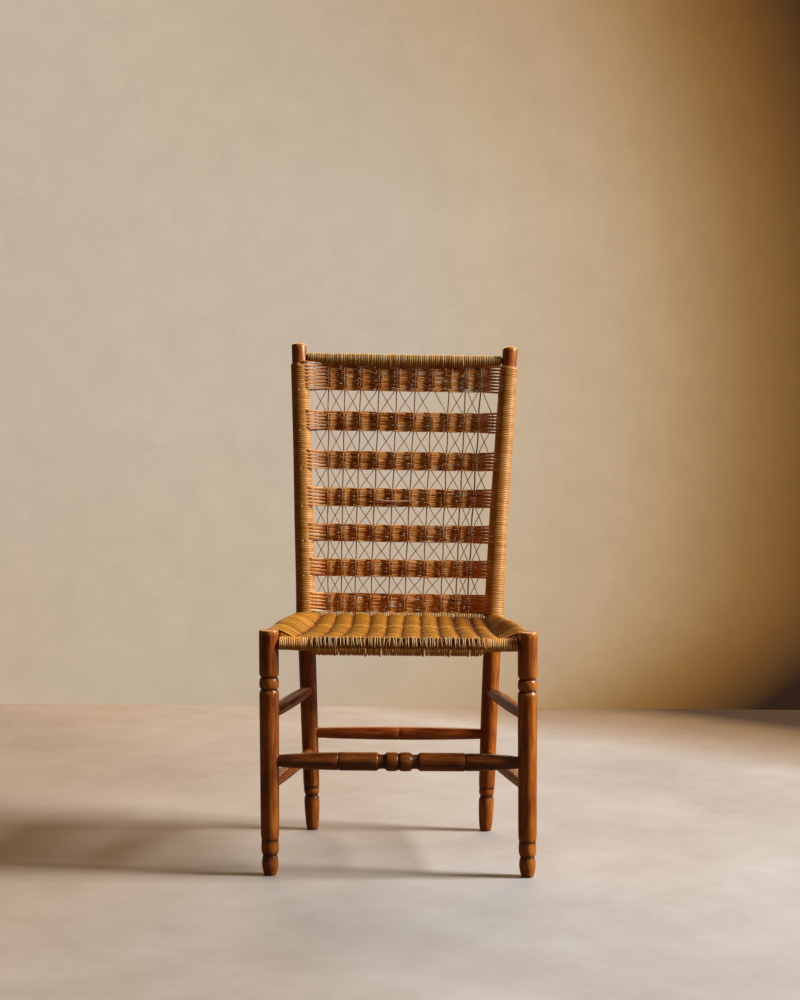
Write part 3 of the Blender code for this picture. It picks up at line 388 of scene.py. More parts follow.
@dataclass(frozen=True)
class SplitRattan:
    """Split rattan cane: a glossy golden skin with fine fibres that darkens and greys with wear.

    Each strand has its own tone, to which the weave adds painted light and shade in places; fibres run along it, and
    grey or brown stains lie across many.
    """

    name: str
    deep: str = "6B3A12"
    body: str = "B97B2E"
    pale: str = "DDB272"
    ash: str = "C9B9A2"
    stain: str = "5A3820"
    stain_share: float = 0.25
    fibre_mm: float = 0.7
    stain_mm: float = 26.0
    roughness: float = 0.42
    sheen: float = 0.5

    def make(self) -> bpy.types.Material:
        """Build the node material.

        Returns:
            The material.
        """
        material = bpy.data.materials.new(self.name)
        nodes = Shading(material, "OutputMaterial")
        # Fibres are drawn out along each strand, and stains lie across many strands.
        drawn = nodes.stretch(nodes.read("UVMap", uv_map="UVMap"), (0.03, 1.0, 1.0))
        fibre = nodes.noise(drawn, 1000 / self.fibre_mm, 3.0)
        patch = nodes.noise(nodes.read("TexCoord", "Object"), 1000 / self.stain_mm, 4.0, 0.6)
        # The strand's tone, which also carries the weave's painted light and shade, decides with both between deep
        # brown, gold, pale cane and grey.
        tone = nodes.read("Attribute", "Fac", attribute_name="tone")
        mixed = nodes.math("MULTIPLY_ADD", patch, 0.5, nodes.math("MULTIPLY_ADD", fibre, 0.55, tone))
        stops = [(0.0, self.deep), (0.32, self.body), (0.62, self.pale), (0.85, self.ash)]
        colour = nodes.ramp(nodes.remap(mixed, 0.5, 2.1), stops)
        skin = {
            "Base Color": nodes.mix(nodes.remap(patch, 0.56, 0.72, 0.0, self.stain_share), colour, self.stain),
            "Roughness": nodes.remap(fibre, 0.3, 0.7, self.roughness - 0.06, self.roughness + 0.14),
            "Normal": nodes.bump(fibre, 0.25, 0.0002),
            "IOR": 1.5,
            "Specular IOR Level": self.sheen,
        }
        nodes.end("BsdfPrincipled", skin)
        return material


@dataclass(frozen=True)
class LimewashedFloor:
    """A smooth pale limewashed floor, matt, with faint broad clouds in its colour.

    It has a painted warm shade toward the left and a painted darker shade toward the far right, and it throws brown
    light on the chair.
    """

    pale: str = "CBCAC7"
    deep: str = "B0ABA4"
    painted_warm_shade: str = "F6E8D8"
    bounce: str = "64523F"
    painted_corner_shade: tuple[tuple[float, str], ...] = (
        (0.25, "FFFFFF"), (0.43, "E9DCCE"), (0.62, "D4BEA6"), (0.80, "B89E7C"), (1.0, "614B39"),
    )
    cloud_m: float = 0.5

    def make(self) -> bpy.types.Material:
        """Build the node material.

        Returns:
            The material.
        """
        material = bpy.data.materials.new("limewashed_floor")
        nodes = Shading(material, "OutputMaterial")
        place = nodes.read("TexCoord", "Object")
        across, away, _ = nodes.split(place)
        # Faint clouds of limewash, with a painted warm shade toward the left.
        colour = nodes.ramp(nodes.noise(place, 1 / self.cloud_m, 9.0, 0.72), [(0.3, self.deep), (0.7, self.pale)])
        colour = nodes.mix(nodes.remap(across, 0.3, -0.8), colour, self.painted_warm_shade, "MULTIPLY")
        # The room's light falls off slowly to the right and to the rear.
        right, rear = nodes.remap(across, 0.1, 0.8, 1.02, 0.88), nodes.remap(away, -0.9, 0.9, 1.06, 0.92)
        colour = nodes.dim(colour, nodes.math("MULTIPLY", right, rear))
        # The far right corner has a painted brown shade.
        corner = nodes.math("MULTIPLY_ADD", across, 0.75, nodes.math("MULTIPLY", away, 0.9))
        colour = nodes.mix(1.0, colour, nodes.ramp(nodes.remap(corner, 1.125, 2.125), self.painted_corner_shade), "MULTIPLY")
        shown = nodes.mix(nodes.read("LightPath", "Is Camera Ray"), self.bounce, colour)
        nodes.end("BsdfPrincipled", {"Base Color": shown, "Roughness": 0.9, "Specular IOR Level": 0.15})
        return material


@dataclass(frozen=True)
class Finishes:
    """Every finished material of the chair, made once."""

    wood_x: bpy.types.Material
    wood_dark: bpy.types.Material
    wood_y: bpy.types.Material
    wood_z: bpy.types.Material
    seat: bpy.types.Material
    back: bpy.types.Material
    wrap: bpy.types.Material
    edge: bpy.types.Material
    bind: bpy.types.Material
    cane: bpy.types.Material

    @classmethod
    def make(cls) -> "Finishes":
        """Make the materials.

        Returns:
            All of them.
        """
        return cls(
            wood_x=StainedBeech(Grain.ALONG_X, "541A0A", "A2400F", "D07824").make(),
            wood_dark=StainedBeech(Grain.ALONG_X, "34140A", "78380F", "B8681C", "160A05").make(),
            wood_y=StainedBeech(Grain.ALONG_Y).make(),
            wood_z=StainedBeech(Grain.ALONG_Z).make(),
            seat=SplitRattan(
                "split_rattan_seat", "6E380A", "C27C14", "DCB04A", "D4B474", stain_share=0.2, sheen=0.18
            ).make(),
            back=SplitRattan(
                "split_rattan_back", "70300C", "DA8430", "F6B868", "ECD2B8", "4A1E10", stain_share=0.3, sheen=0.28
            ).make(),
            wrap=SplitRattan("split_rattan_wrap", "7C3C06", "D08A30", "F6D08E", stain_share=0.1).make(),
            edge=SplitRattan("split_rattan_edge", "6E3F14", "B8802F", "D2B070", "CDBFA6", "3A2415", 0.35).make(),
            bind=SplitRattan("split_rattan_binding", "70340A", "E08A22", "F6BE66", "E0CDA8", stain_share=0.15).make(),
            cane=SplitRattan("rattan_core", "7A4E22", "B5823F", "DBAF6C", roughness=0.5).make(),
        )


# Lines that the frame and the weave share


@dataclass(frozen=True)
class ChairLines:
    """Centre lines and radii of the frame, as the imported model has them."""

    front: float
    leg_spacing: float = 0.475
    leg_height: float = 0.4545
    leg_radius: float = 0.0181
    back_height: float = 0.992
    post_foot_spacing: float = 0.354
    post_seat_spacing: float = 0.3805
    post_top_spacing: float = 0.435
    post_foot_depth: float = 0.3735
    post_seat_depth: float = 0.366
    post_top_depth: float = 0.440
    seat_level: float = 0.430
    bend_length: float = 0.060
    shin_height: float = 0.100
    shin_radius: float = 0.0163
    seat_radius: float = 0.0177
    wrapped_radius: float = 0.0168
    top_radius: float = 0.0152
    top_rail_level: float = 0.963
    side_rail_front: float = 0.4395
    side_rail_rear: float = 0.4325

    def lean(self, height: float) -> float:
        """Follow the lean of a post's axis.

        Args:
            height: height above the floor.

        Returns:
            The axis's distance behind the front legs.
        """
        reach = height - self.seat_level
        below = lerp(self.post_foot_depth, self.post_seat_depth, height / self.seat_level)
        above = self.post_seat_depth + reach * self.slope()
        if reach <= -self.bend_length:
            return below
        if reach >= 0:
            return above
        share = 1 + reach / self.bend_length
        return lerp(below, above, share * share)

    def slope(self) -> float:
        """Return how far the back leans for each metre of height."""
        return (self.post_top_depth - self.post_seat_depth) / (self.back_height - self.seat_level)

    def half_spacing(self, height: float) -> float:
        """Follow the spread of the posts.

        Args:
            height: height above the floor.

        Returns:
            Half the distance between their axes.
        """
        foot, seat, top = self.post_foot_spacing / 2, self.post_seat_spacing / 2, self.post_top_spacing / 2
        low = (seat - foot) / self.seat_level
        high = (top - seat) / (self.back_height - self.seat_level)
        return foot + low * height + (high - low) / self.back_height * height * (height - self.seat_level)

    def post_radius(self, height: float) -> float:
        """Follow the thickness of a post's plain shaft.

        Args:
            height: height above the floor.

        Returns:
            Its radius.
        """
        if height <= self.seat_level:
            share = (height - self.shin_height) / (self.seat_level - self.shin_height)
            return lerp(self.shin_radius, self.seat_radius, math.sin(share * math.pi / 2))
        share = (height - self.seat_level) / (self.back_height - self.seat_level)
        settle = min(1.0, (height - self.seat_level) / self.bend_length)
        return lerp(self.seat_radius, lerp(self.wrapped_radius, self.top_radius, share), settle)

    def post_point(self, side: int, height: float) -> Vector:
        """Return a point of a post's axis."""
        return Vector((side * self.half_spacing(height), self.front + self.lean(height), height))

    def leg_point(self, side: int, height: float) -> Vector:
        """Return a point of a front leg's axis."""
        return Vector((side * self.leg_spacing / 2, self.front, height))

    def back_plane(self) -> Matrix:
        """Place the back's own frame: X across, Y out to the rear, Z up the lean.

        Returns:
            From the back's frame to the chair's.
        """
        run = math.hypot(1, self.slope())
        sine, cosine = self.slope() / run, 1 / run
        turn = Matrix(((1, 0, 0, 0), (0, cosine, sine, 0), (0, -sine, cosine, 0), (0, 0, 0, 1)))
        return Matrix.Translation((0, self.front + self.post_seat_depth, self.seat_level)) @ turn

    def up(self, height: float) -> float:
        """Return how far up the back's lean a height lies, from the seat's level."""
        return (height - self.seat_level) * math.hypot(1, self.slope())


# Turned wood


class TurnedPiece:
    """A piece of round wood: a lathe outline spun about an axis, then set in its place."""

    merge_distance = 0.00002
    sharp_degrees = 38
    order = Vector((0.577, 0.211, 1.0))

    def __init__(self, name: str, turns: int = 48) -> None:
        """Keep the piece's name and how many flats the lathe leaves."""
        self.name = name
        self.turns = turns

    def spin(self, outline: Sequence[tuple[float, ...]], place: Callable[[Vector], Vector]) -> bpy.types.Object:
        """Spin the outline and carry each point to its place.

        Args:
            outline: (distance along the axis, radius, recess) from one end to the other. Recess is 1
                in a dark groove, 0 on plain wood and -1 where the stain is rubbed through.
            place: maps a point turned about Z to its place on the chair.

        Returns:
            The finished object, at the origin with its place in its mesh.
        """
        work = bmesh.new()
        recess = work.verts.layers.float.new("recess")
        ends = [(outline[0][0], 0.0, 0.0), *outline, (outline[-1][0], 0.0, 0.0)]
        line = []
        for along, radius, *sunk in ends:
            vert = work.verts.new((radius, 0, along))
            vert[recess] = sunk[0] if sunk else 0.0
            line.append(vert)
        edges = [work.edges.new(pair) for pair in zip(line, line[1:])]
        bmesh.ops.spin(
            work,
            geom=line + edges,
            cent=(0, 0, 0),
            axis=(0, 0, 1),
            dvec=(0, 0, 0),
            angle=2 * math.pi,
            steps=self.turns,
            use_merge=True,
            use_duplicate=False,
        )
        bmesh.ops.remove_doubles(work, verts=work.verts, dist=self.merge_distance)
        bmesh.ops.recalc_face_normals(work, faces=work.faces)
        for vert in work.verts:
            vert.co = place(vert.co)
        bmesh.ops.recalc_face_normals(work, faces=work.faces)
        # The spin leaves its parts in another order in every run, so they are put in one order.
        work.verts.sort(key=lambda vert: vert.co.dot(self.order))
        work.edges.sort(key=lambda edge: (edge.verts[0].co + edge.verts[1].co).dot(self.order))
        work.faces.sort(key=lambda face: face.calc_center_median().dot(self.order))
        mesh = mesh_from(work, self.name)
        mesh.shade_smooth()
        mesh.set_sharp_from_angle(angle=math.radians(self.sharp_degrees))
        return new_object(self.name, mesh)

    def between(self, outline: Sequence[tuple[float, ...]], start: Vector, end: Vector) -> bpy.types.Object:
        """Spin the outline about a line, with its zero at the line's middle.

        Args:
            outline: as for spin.
            start: the line's start.
            end: its end.

        Returns:
            The finished object.
        """
        direction = (end - start).normalized()
        turn = Vector((0, 0, 1)).rotation_difference(direction).to_matrix()
        middle = (start + end) / 2
        return self.spin(outline, lambda point: turn @ point + middle)


def bead(start: float, length: float, low: float, high: float, steps: int = 12, rub: float = -0.6) -> list[Point]:
    """Outline points of a rounded bead.

    Args:
        start: where along the axis it begins.
        length: its length.
        low: radius in the grooves at its ends.
        high: radius at its crown.
        steps: spans along it.
        rub: recess at the crown, below 0 where the stain is rubbed.

    Returns:
        Its (along, radius, recess) points.
    """
    found = []
    for i in range(steps + 1):
        angle = math.pi * i / steps
        rise = math.sin(angle) ** 0.8
        found.append((start + length * (1 - math.cos(angle)) / 2, lerp(low, high, rise), lerp(1.0, rub, rise)))
    return found


def rounded(start: float, radius: float, size: float, degrees: Sequence[int], rub: float) -> list[Point]:
    """Return outline points round an edge, from where it starts, at the degrees given and with one recess."""
    turns = [math.radians(angle) for angle in degrees]
    return [(start + size * math.sin(turn), radius - size * (1 - math.cos(turn)), rub) for turn in turns]


@dataclass(frozen=True)
class FrontLeg:
    """A front leg: turned foot and bead, long shaft, a bead between two necks, and a plain head."""

    lines: ChairLines
    side_name: str
    foot: tuple[Point, ...] = (
        (0.0000, 0.0100, 0.3), (0.0010, 0.0112, 0.0), (0.0040, 0.0122, 0.0), (0.0100, 0.0138, 0.0),
        (0.0160, 0.0148, -0.2), (0.0220, 0.0153, -0.4), (0.0280, 0.0151, -0.2), (0.0330, 0.0143, 0.2),
        (0.0360, 0.0133, 0.9), (0.0370, 0.0129, 1.0), (0.0380, 0.0134, 0.9), (0.0405, 0.0148, 0.2),
        (0.0450, 0.0160, -0.3), (0.0510, 0.0164, -0.4), (0.0570, 0.0163, -0.3), (0.0620, 0.0158, 0.1),
        (0.0645, 0.0153, 0.8), (0.0655, 0.0152, 1.0), (0.0665, 0.0155, 0.8), (0.0700, 0.0163, 0.0),
        (0.0760, 0.0169, -0.2), (0.0850, 0.0171, 0.0),
    )
    shaft_end: float = 0.333
    into_neck: tuple[Point, ...] = (
        (0.3375, 0.0180, -0.3), (0.3400, 0.0176, -0.5), (0.3420, 0.0168, 0.0), (0.3440, 0.0153, 0.7),
    )
    out_of_neck: tuple[Point, ...] = (
        (0.3680, 0.0152, 0.7), (0.3700, 0.0168, 0.0), (0.3725, 0.0177, -0.5), (0.3760, 0.0181, -0.2),
    )
    neck_radius: float = 0.0142
    bead_low: float = 0.3455
    bead_high: float = 0.3665
    full_radius: float = 0.0181
    edge_round: float = 0.0028

    def outline(self) -> list[Point]:
        """Draw the leg's lathe outline.

        Returns:
            Its (along, radius, recess) points.
        """
        points = list(self.foot)
        for i in range(1, 9):
            height = lerp(self.foot[-1][0], self.shaft_end, i / 8)
            points.append((height, lerp(self.foot[-1][1], self.full_radius, i / 8), 0.0))
        points += self.into_neck
        points += bead(self.bead_low, self.bead_high - self.bead_low, self.neck_radius, self.full_radius)
        points += self.out_of_neck
        top = self.lines.leg_height
        for share in (0.25, 0.6, 0.9):
            points.append((lerp(self.out_of_neck[-1][0], top - self.edge_round, share), self.full_radius, 0.0))
        points += rounded(top - self.edge_round, self.full_radius, self.edge_round, (0, 30, 60, 90), -0.9)
        points.append((top, self.full_radius * 0.5, -0.1))
        return points

    def build(self, finishes: Finishes) -> None:
        """Make and dress the leg.

        Args:
            finishes: the materials.
        """
        base = self.lines.leg_point(SIDES[self.side_name], 0)
        leg = TurnedPiece(f"turned_front_leg_{self.side_name}", 56).spin(self.outline(), lambda point: point + base)
        finish_piece(leg, finishes.wood_z, [f"front_leg_{self.side_name}"])


@dataclass(frozen=True)
class BackPost:
    """A rear leg and back post in one bent bar, with a turned ankle and a rounded bare top."""

    lines: ChairLines
    side_name: str
    foot: tuple[Point, ...] = (
        (0.0000, 0.0102, 0.3), (0.0010, 0.0113, 0.0), (0.0080, 0.0126, 0.0), (0.0200, 0.0138, -0.1),
        (0.0350, 0.0147, -0.2), (0.0500, 0.0153, -0.3), (0.0600, 0.0155, -0.3), (0.0655, 0.0150, 0.1),
        (0.0690, 0.0136, 0.8), (0.0712, 0.0127, 1.0), (0.0730, 0.0131, 0.8), (0.0755, 0.0146, 0.1),
        (0.0800, 0.0156, -0.4), (0.0850, 0.0157, -0.3), (0.0875, 0.0153, 0.8), (0.0885, 0.0152, 1.0),
        (0.0895, 0.0155, 0.8), (0.0940, 0.0161, 0.0),
    )
    top_round: float = 0.0070

    def outline(self) -> list[Point]:
        """Draw the post's outline, straightened.

        Returns:
            Its (along, radius, recess) points.
        """
        points = list(self.foot)
        top = self.lines.back_height - self.top_round
        for i in range(61):
            height = lerp(self.lines.shin_height, top, i / 60)
            points.append((height, self.lines.post_radius(height), 0.0))
        return points + rounded(top, self.lines.top_radius, self.top_round, (20, 40, 60, 80), -0.7)

    def build(self, finishes: Finishes) -> None:
        """Make and dress the post.

        Args:
            finishes: the materials.
        """
        side = SIDES[self.side_name]

        def bend(point: Vector) -> Vector:
            """Carry a point of the straight post to the bent one."""
            return self.lines.post_point(side, point.z) + Vector((point.x, point.y, 0))

        post = TurnedPiece(f"bent_back_post_{self.side_name}").spin(self.outline(), bend)
        finish_piece(post, finishes.wood_z, [f"back_post_{self.side_name}"])


@dataclass(frozen=True)
class Stretchers:
    """The turned front stretcher and the plain ones at the rear and the sides."""

    lines: ChairLines
    front_level: float = 0.2124
    rear_level: float = 0.1999
    upper_levels: Pair = (0.298, 0.287)
    lower_levels: Pair = (0.167, 0.158)
    bead_radius: float = 0.0178
    bead_length: float = 0.0235
    left_groove: float = 0.1110
    right_groove: float = 0.1225
    end_radius: float = 0.0103
    side_radius: float = 0.0131
    rear_radius: float = 0.0137
    plain_end: float = 0.0102
    tuck: float = 0.006
    bead_start: float = 0.0008
    bead_foot: float = 0.0150
    cove: tuple[Point, ...] = (
        (0.0252, 0.0136, 0.6), (0.0300, 0.0132, 0.2), (0.0345, 0.0136, 0.3), (0.0372, 0.0146, 0.8),
        (0.0378, 0.0158, 0.2), (0.0392, 0.0167, -0.6), (0.0415, 0.0171, -0.4),
    )
    groove_form: tuple[Point, ...] = (
        (-0.003, 0.0171, -0.3), (-0.001, 0.0165, -0.3), (0.0, 0.0150, 1.0), (0.001, 0.0160, -0.2),
        (0.003, 0.0165, -0.2),
    )

    def front_half(self, groove: float, reach: float) -> list[Point]:
        """Return the front stretcher's outline from its middle to one end.

        Args:
            groove: distance of the barrel's outer groove from the middle.
            reach: distance of the end from the middle.

        Returns:
            Its (along, radius, recess) points.
        """
        points = bead(self.bead_start, self.bead_length - self.bead_start, self.bead_foot, self.bead_radius)
        points += self.cove
        grooved = [(groove + along, radius, sunk) for along, radius, sunk in self.groove_form]
        for share in (0.2, 0.5, 0.8):
            points.append((lerp(self.cove[-1][0], grooved[0][0], share), self.cove[-1][1], 0.0))
        points += grooved
        for i in range(1, 11):
            along = lerp(grooved[-1][0], reach, i / 10)
            points.append((along, lerp(grooved[-1][1], self.end_radius, (i / 10) ** 1.7), 0.0))
        return points

    def front_outline(self, reach: float) -> list[Point]:
        """Return the whole front stretcher's outline, its left half first."""
        left = [(-along, radius, sunk) for along, radius, sunk in reversed(self.front_half(self.left_groove, reach))]
        return left + self.front_half(self.right_groove, reach)

    def plain_outline(self, reach: float, middle: float, scribed: bool = False) -> list[Point]:
        """Return the outline of a plain stretcher that swells slowly to its middle.

        Args:
            reach: half its length.
            middle: radius at its middle.
            scribed: whether a fine line runs round its middle.

        Returns:
            Its (along, radius, recess) points.
        """
        points = []
        for i in range(-14, 15):
            along = reach * i / 14
            if scribed and i == 0:
                points += [(-0.0011, middle, -0.2), (0.0, middle - 0.0007, 1.0), (0.0011, middle, -0.2)]
                continue
            swell = math.cos(math.pi / 2 * i / 14)
            points.append((along, lerp(self.plain_end, middle, swell**0.8), 0.0))
        return points

    def build(self, finishes: Finishes) -> None:
        """Make and dress every stretcher.

        Args:
            finishes: the materials.
        """
        lines = self.lines
        start, end = lines.leg_point(-1, self.front_level), lines.leg_point(1, self.front_level)
        reach = (end - start).length / 2 - self.tuck
        front = TurnedPiece("turned_front_stretcher", 56).between(self.front_outline(reach), start, end)
        finish_piece(front, finishes.wood_dark, ["front_stretcher"])
        start, end = lines.post_point(-1, self.rear_level), lines.post_point(1, self.rear_level)
        reach = (end - start).length / 2 - self.tuck
        outline = self.plain_outline(reach, self.rear_radius, True)
        rear = TurnedPiece("plain_rear_stretcher").between(outline, start, end)
        finish_piece(rear, finishes.wood_x, ["rear_stretcher"])
        for word, side in SIDES.items():
            for level_name, (at_leg, at_post) in (("upper", self.upper_levels), ("lower", self.lower_levels)):
                start, end = lines.leg_point(side, at_leg), lines.post_point(side, at_post)
                outline = self.plain_outline((end - start).length / 2 - self.tuck, self.side_radius)
                name = f"{level_name}_side_stretcher_{word}"
                made = TurnedPiece(f"plain_{name}").between(outline, start, end)
                finish_piece(made, finishes.wood_y, [name])


@dataclass(frozen=True)
class Rails:
    """The seat rails and the top rail, whose bare ends show beyond their wrapping."""

    lines: ChairLines
    front_level: float = 0.427
    end_rail_radius: float = 0.0105
    side_rail_radius: float = 0.0132
    top_rail_radius: float = 0.0070
    tenon_radius: float = 0.0075
    top_tenon_radius: float = 0.0060
    taper: float = 0.025
    tuck: float = 0.010

    def outline(self, reach: float, middle: float, end: float) -> list[Point]:
        """Return a rail's outline: a plain bar that narrows to its ends.

        Args:
            reach: half its length.
            middle: radius at its middle.
            end: radius of its tenons.

        Returns:
            Its (along, radius, recess) points.
        """
        points = []
        for i in range(-10, 11):
            along = reach * i / 10
            share = smooth((reach - abs(along)) / (2 * self.taper))
            points.append((along, lerp(end, middle, share), 0.2))
        return points

    def build(self, finishes: Finishes) -> None:
        """Make and dress the five rails.

        Args:
            finishes: the materials.
        """
        lines = self.lines
        rail_ends = {
            "front_seat_rail": (lines.leg_point(-1, self.front_level), lines.leg_point(1, self.front_level)),
            "rear_seat_rail": (lines.post_point(-1, lines.seat_level), lines.post_point(1, lines.seat_level)),
            "top_rail": (lines.post_point(-1, lines.top_rail_level), lines.post_point(1, lines.top_rail_level)),
        }
        radii = {"top_rail": (self.top_rail_radius, self.top_tenon_radius)}
        for word, side in SIDES.items():
            rail_ends[f"side_seat_rail_{word}"] = (
                lines.leg_point(side, lines.side_rail_front),
                lines.post_point(side, lines.side_rail_rear),
            )
            radii[f"side_seat_rail_{word}"] = (self.side_rail_radius, self.tenon_radius)
        for name, (start, end) in rail_ends.items():
            middle, tip = radii.get(name, (self.end_rail_radius, self.tenon_radius))
            outline = self.outline((end - start).length / 2 - self.tuck, middle, tip)
            made = TurnedPiece(f"wooden_{name}", 24).between(outline, start, end)
            finish = finishes.wood_y if name.startswith("side") else finishes.wood_x
            finish_piece(made, finish, [name])


# Strands


class StrandBundle:
    """Strands of one section swept along their paths into one mesh.

    Paths are laid in a working frame whose Z axis is the strands' width, and the bundle is then
    carried to its place on the chair.
    """

    girth = 0.008

    def __init__(self, name: str, width: float, thickness: float, flat: float = 0.27) -> None:
        """Keep the section.

        Args:
            name: the object's name.
            width: the strand's width, along the working frame's Z.
            thickness: its thickness.
            flat: how far its flat faces reach from its middle, as a share of its width.
        """
        self.name = name
        outline = [(0.5, -flat), (0.5, flat), (0, 0.5), (-0.5, flat), (-0.5, -flat), (0, -0.5)]
        self.corners = len(outline)
        self.curve = bpy.data.curves.new(name, "CURVE")
        self.curve.dimensions = "3D"
        self.curve.twist_mode = "Z_UP"
        self.curve.bevel_mode = "OBJECT"
        section = bpy.data.curves.new(f"{name}_section", "CURVE")
        section.dimensions = "2D"
        spline = section.splines.new("POLY")
        spline.points.add(self.corners - 1)
        for point, (through_share, across_share) in zip(spline.points, outline[::-1]):
            point.co = (thickness * through_share, width * across_share, 0, 1)
        spline.use_cyclic_u = True
        self.section = new_object(f"{name}_section", section)
        self.curve.bevel_object = self.section
        self.tones: list[float] = []
        self.lengths: list[float] = []

    def lay(
        self,
        points: Sequence[Sequence[float]],
        tone: float | Sequence[float],
        scales: Sequence[float] | None = None,
        closed: bool = False,
    ) -> None:
        """Add one strand.

        Args:
            points: its centre line in the working frame.
            tone: how pale it is, about 0 to 1, for the whole strand or at each point.
            scales: size of its section at each point, 1 being full.
            closed: whether its end runs into its start.
        """
        count = len(points)
        spline = self.curve.splines.new("POLY")
        spline.points.add(count - 1)
        places = np.ones((count, 4), dtype=np.float32)
        places[:, :3] = np.array(points, dtype=np.float32)
        spline.points.foreach_set("co", places.ravel())
        if scales is not None:
            spline.points.foreach_set("radius", np.array(scales, dtype=np.float32))
        spline.use_cyclic_u = closed
        tones = np.full(count, 1.0, dtype=np.float32) * np.array(tone, dtype=np.float32)
        self.tones += np.repeat(tones, self.corners).tolist()
        length = float(np.linalg.norm(np.diff(places[:, :3], axis=0), axis=1).sum())
        self.lengths += [length] * (count * self.corners)

    def weave(self, place: Matrix) -> bpy.types.Object:
        """Make the mesh, close the strands' ends and carry it to its place.

        Args:
            place: from the working frame to the chair's.

        Returns:
            The object, at the origin.
        """
        holder = new_object(f"{self.name}_curve", self.curve)
        bpy.context.view_layer.update()
        graph = bpy.context.evaluated_depsgraph_get()
        mesh = bpy.data.meshes.new_from_object(holder.evaluated_get(graph))
        mesh.name = self.name
        bpy.data.objects.remove(holder)
        bpy.data.objects.remove(self.section)
        tone = mesh.attributes.new("tone", "FLOAT", "POINT")
        tone.data.foreach_set("value", np.array(self.tones, dtype=np.float32))
        self.scale_uv(mesh)
        mesh.transform(place)
        work = bmesh.new()
        work.from_mesh(mesh)
        ends = [edge for edge in work.edges if edge.is_boundary]
        bmesh.ops.holes_fill(work, edges=ends, sides=self.corners)
        bmesh.ops.recalc_face_normals(work, faces=work.faces)
        work.to_mesh(mesh)
        work.free()
        mesh.shade_smooth()
        return new_object(self.name, mesh)

    def dress(self, place: Matrix, node: str, material: bpy.types.Material) -> None:
        """Weave the bundle in its place and finish it as the rattan of a CAD node."""
        finish_piece(self.weave(place), material, [node])

    def scale_uv(self, mesh: bpy.types.Mesh) -> None:
        """Turn the curve's own UV map into metres along and round each strand.

        Args:
            mesh: the bundle's mesh.
        """
        corners = len(mesh.loops)
        verts = np.empty(corners, dtype=np.int32)
        mesh.loops.foreach_get("vertex_index", verts)
        layer = mesh.uv_layers[0]
        layer.name = "UVMap"
        flat = np.empty(corners * 2, dtype=np.float32)
        layer.data.foreach_get("uv", flat)
        flat[0::2] *= np.array(self.lengths, dtype=np.float32)[verts]
        flat[0::2] += np.array(self.tones, dtype=np.float32)[verts[0]]
        flat[1::2] *= self.girth
        layer.data.foreach_set("uv", flat)


# From a bundle's working frame, whose Z is the strands' width, to the back's frame or the chair's.
UP_THE_BACK = Matrix(((0, 1, 0, 0), (0, 0, 1, 0), (1, 0, 0, 0), (0, 0, 0, 1)))
ACROSS_RAIL = Matrix(((0, 0, 1, 0), (1, 0, 0, 0), (0, 1, 0, 0), (0, 0, 0, 1)))
ACROSS_SEAT = Matrix(((1, 0, 0, 0), (0, 0, -1, 0), (0, 1, 0, 0), (0, 0, 0, 1)))


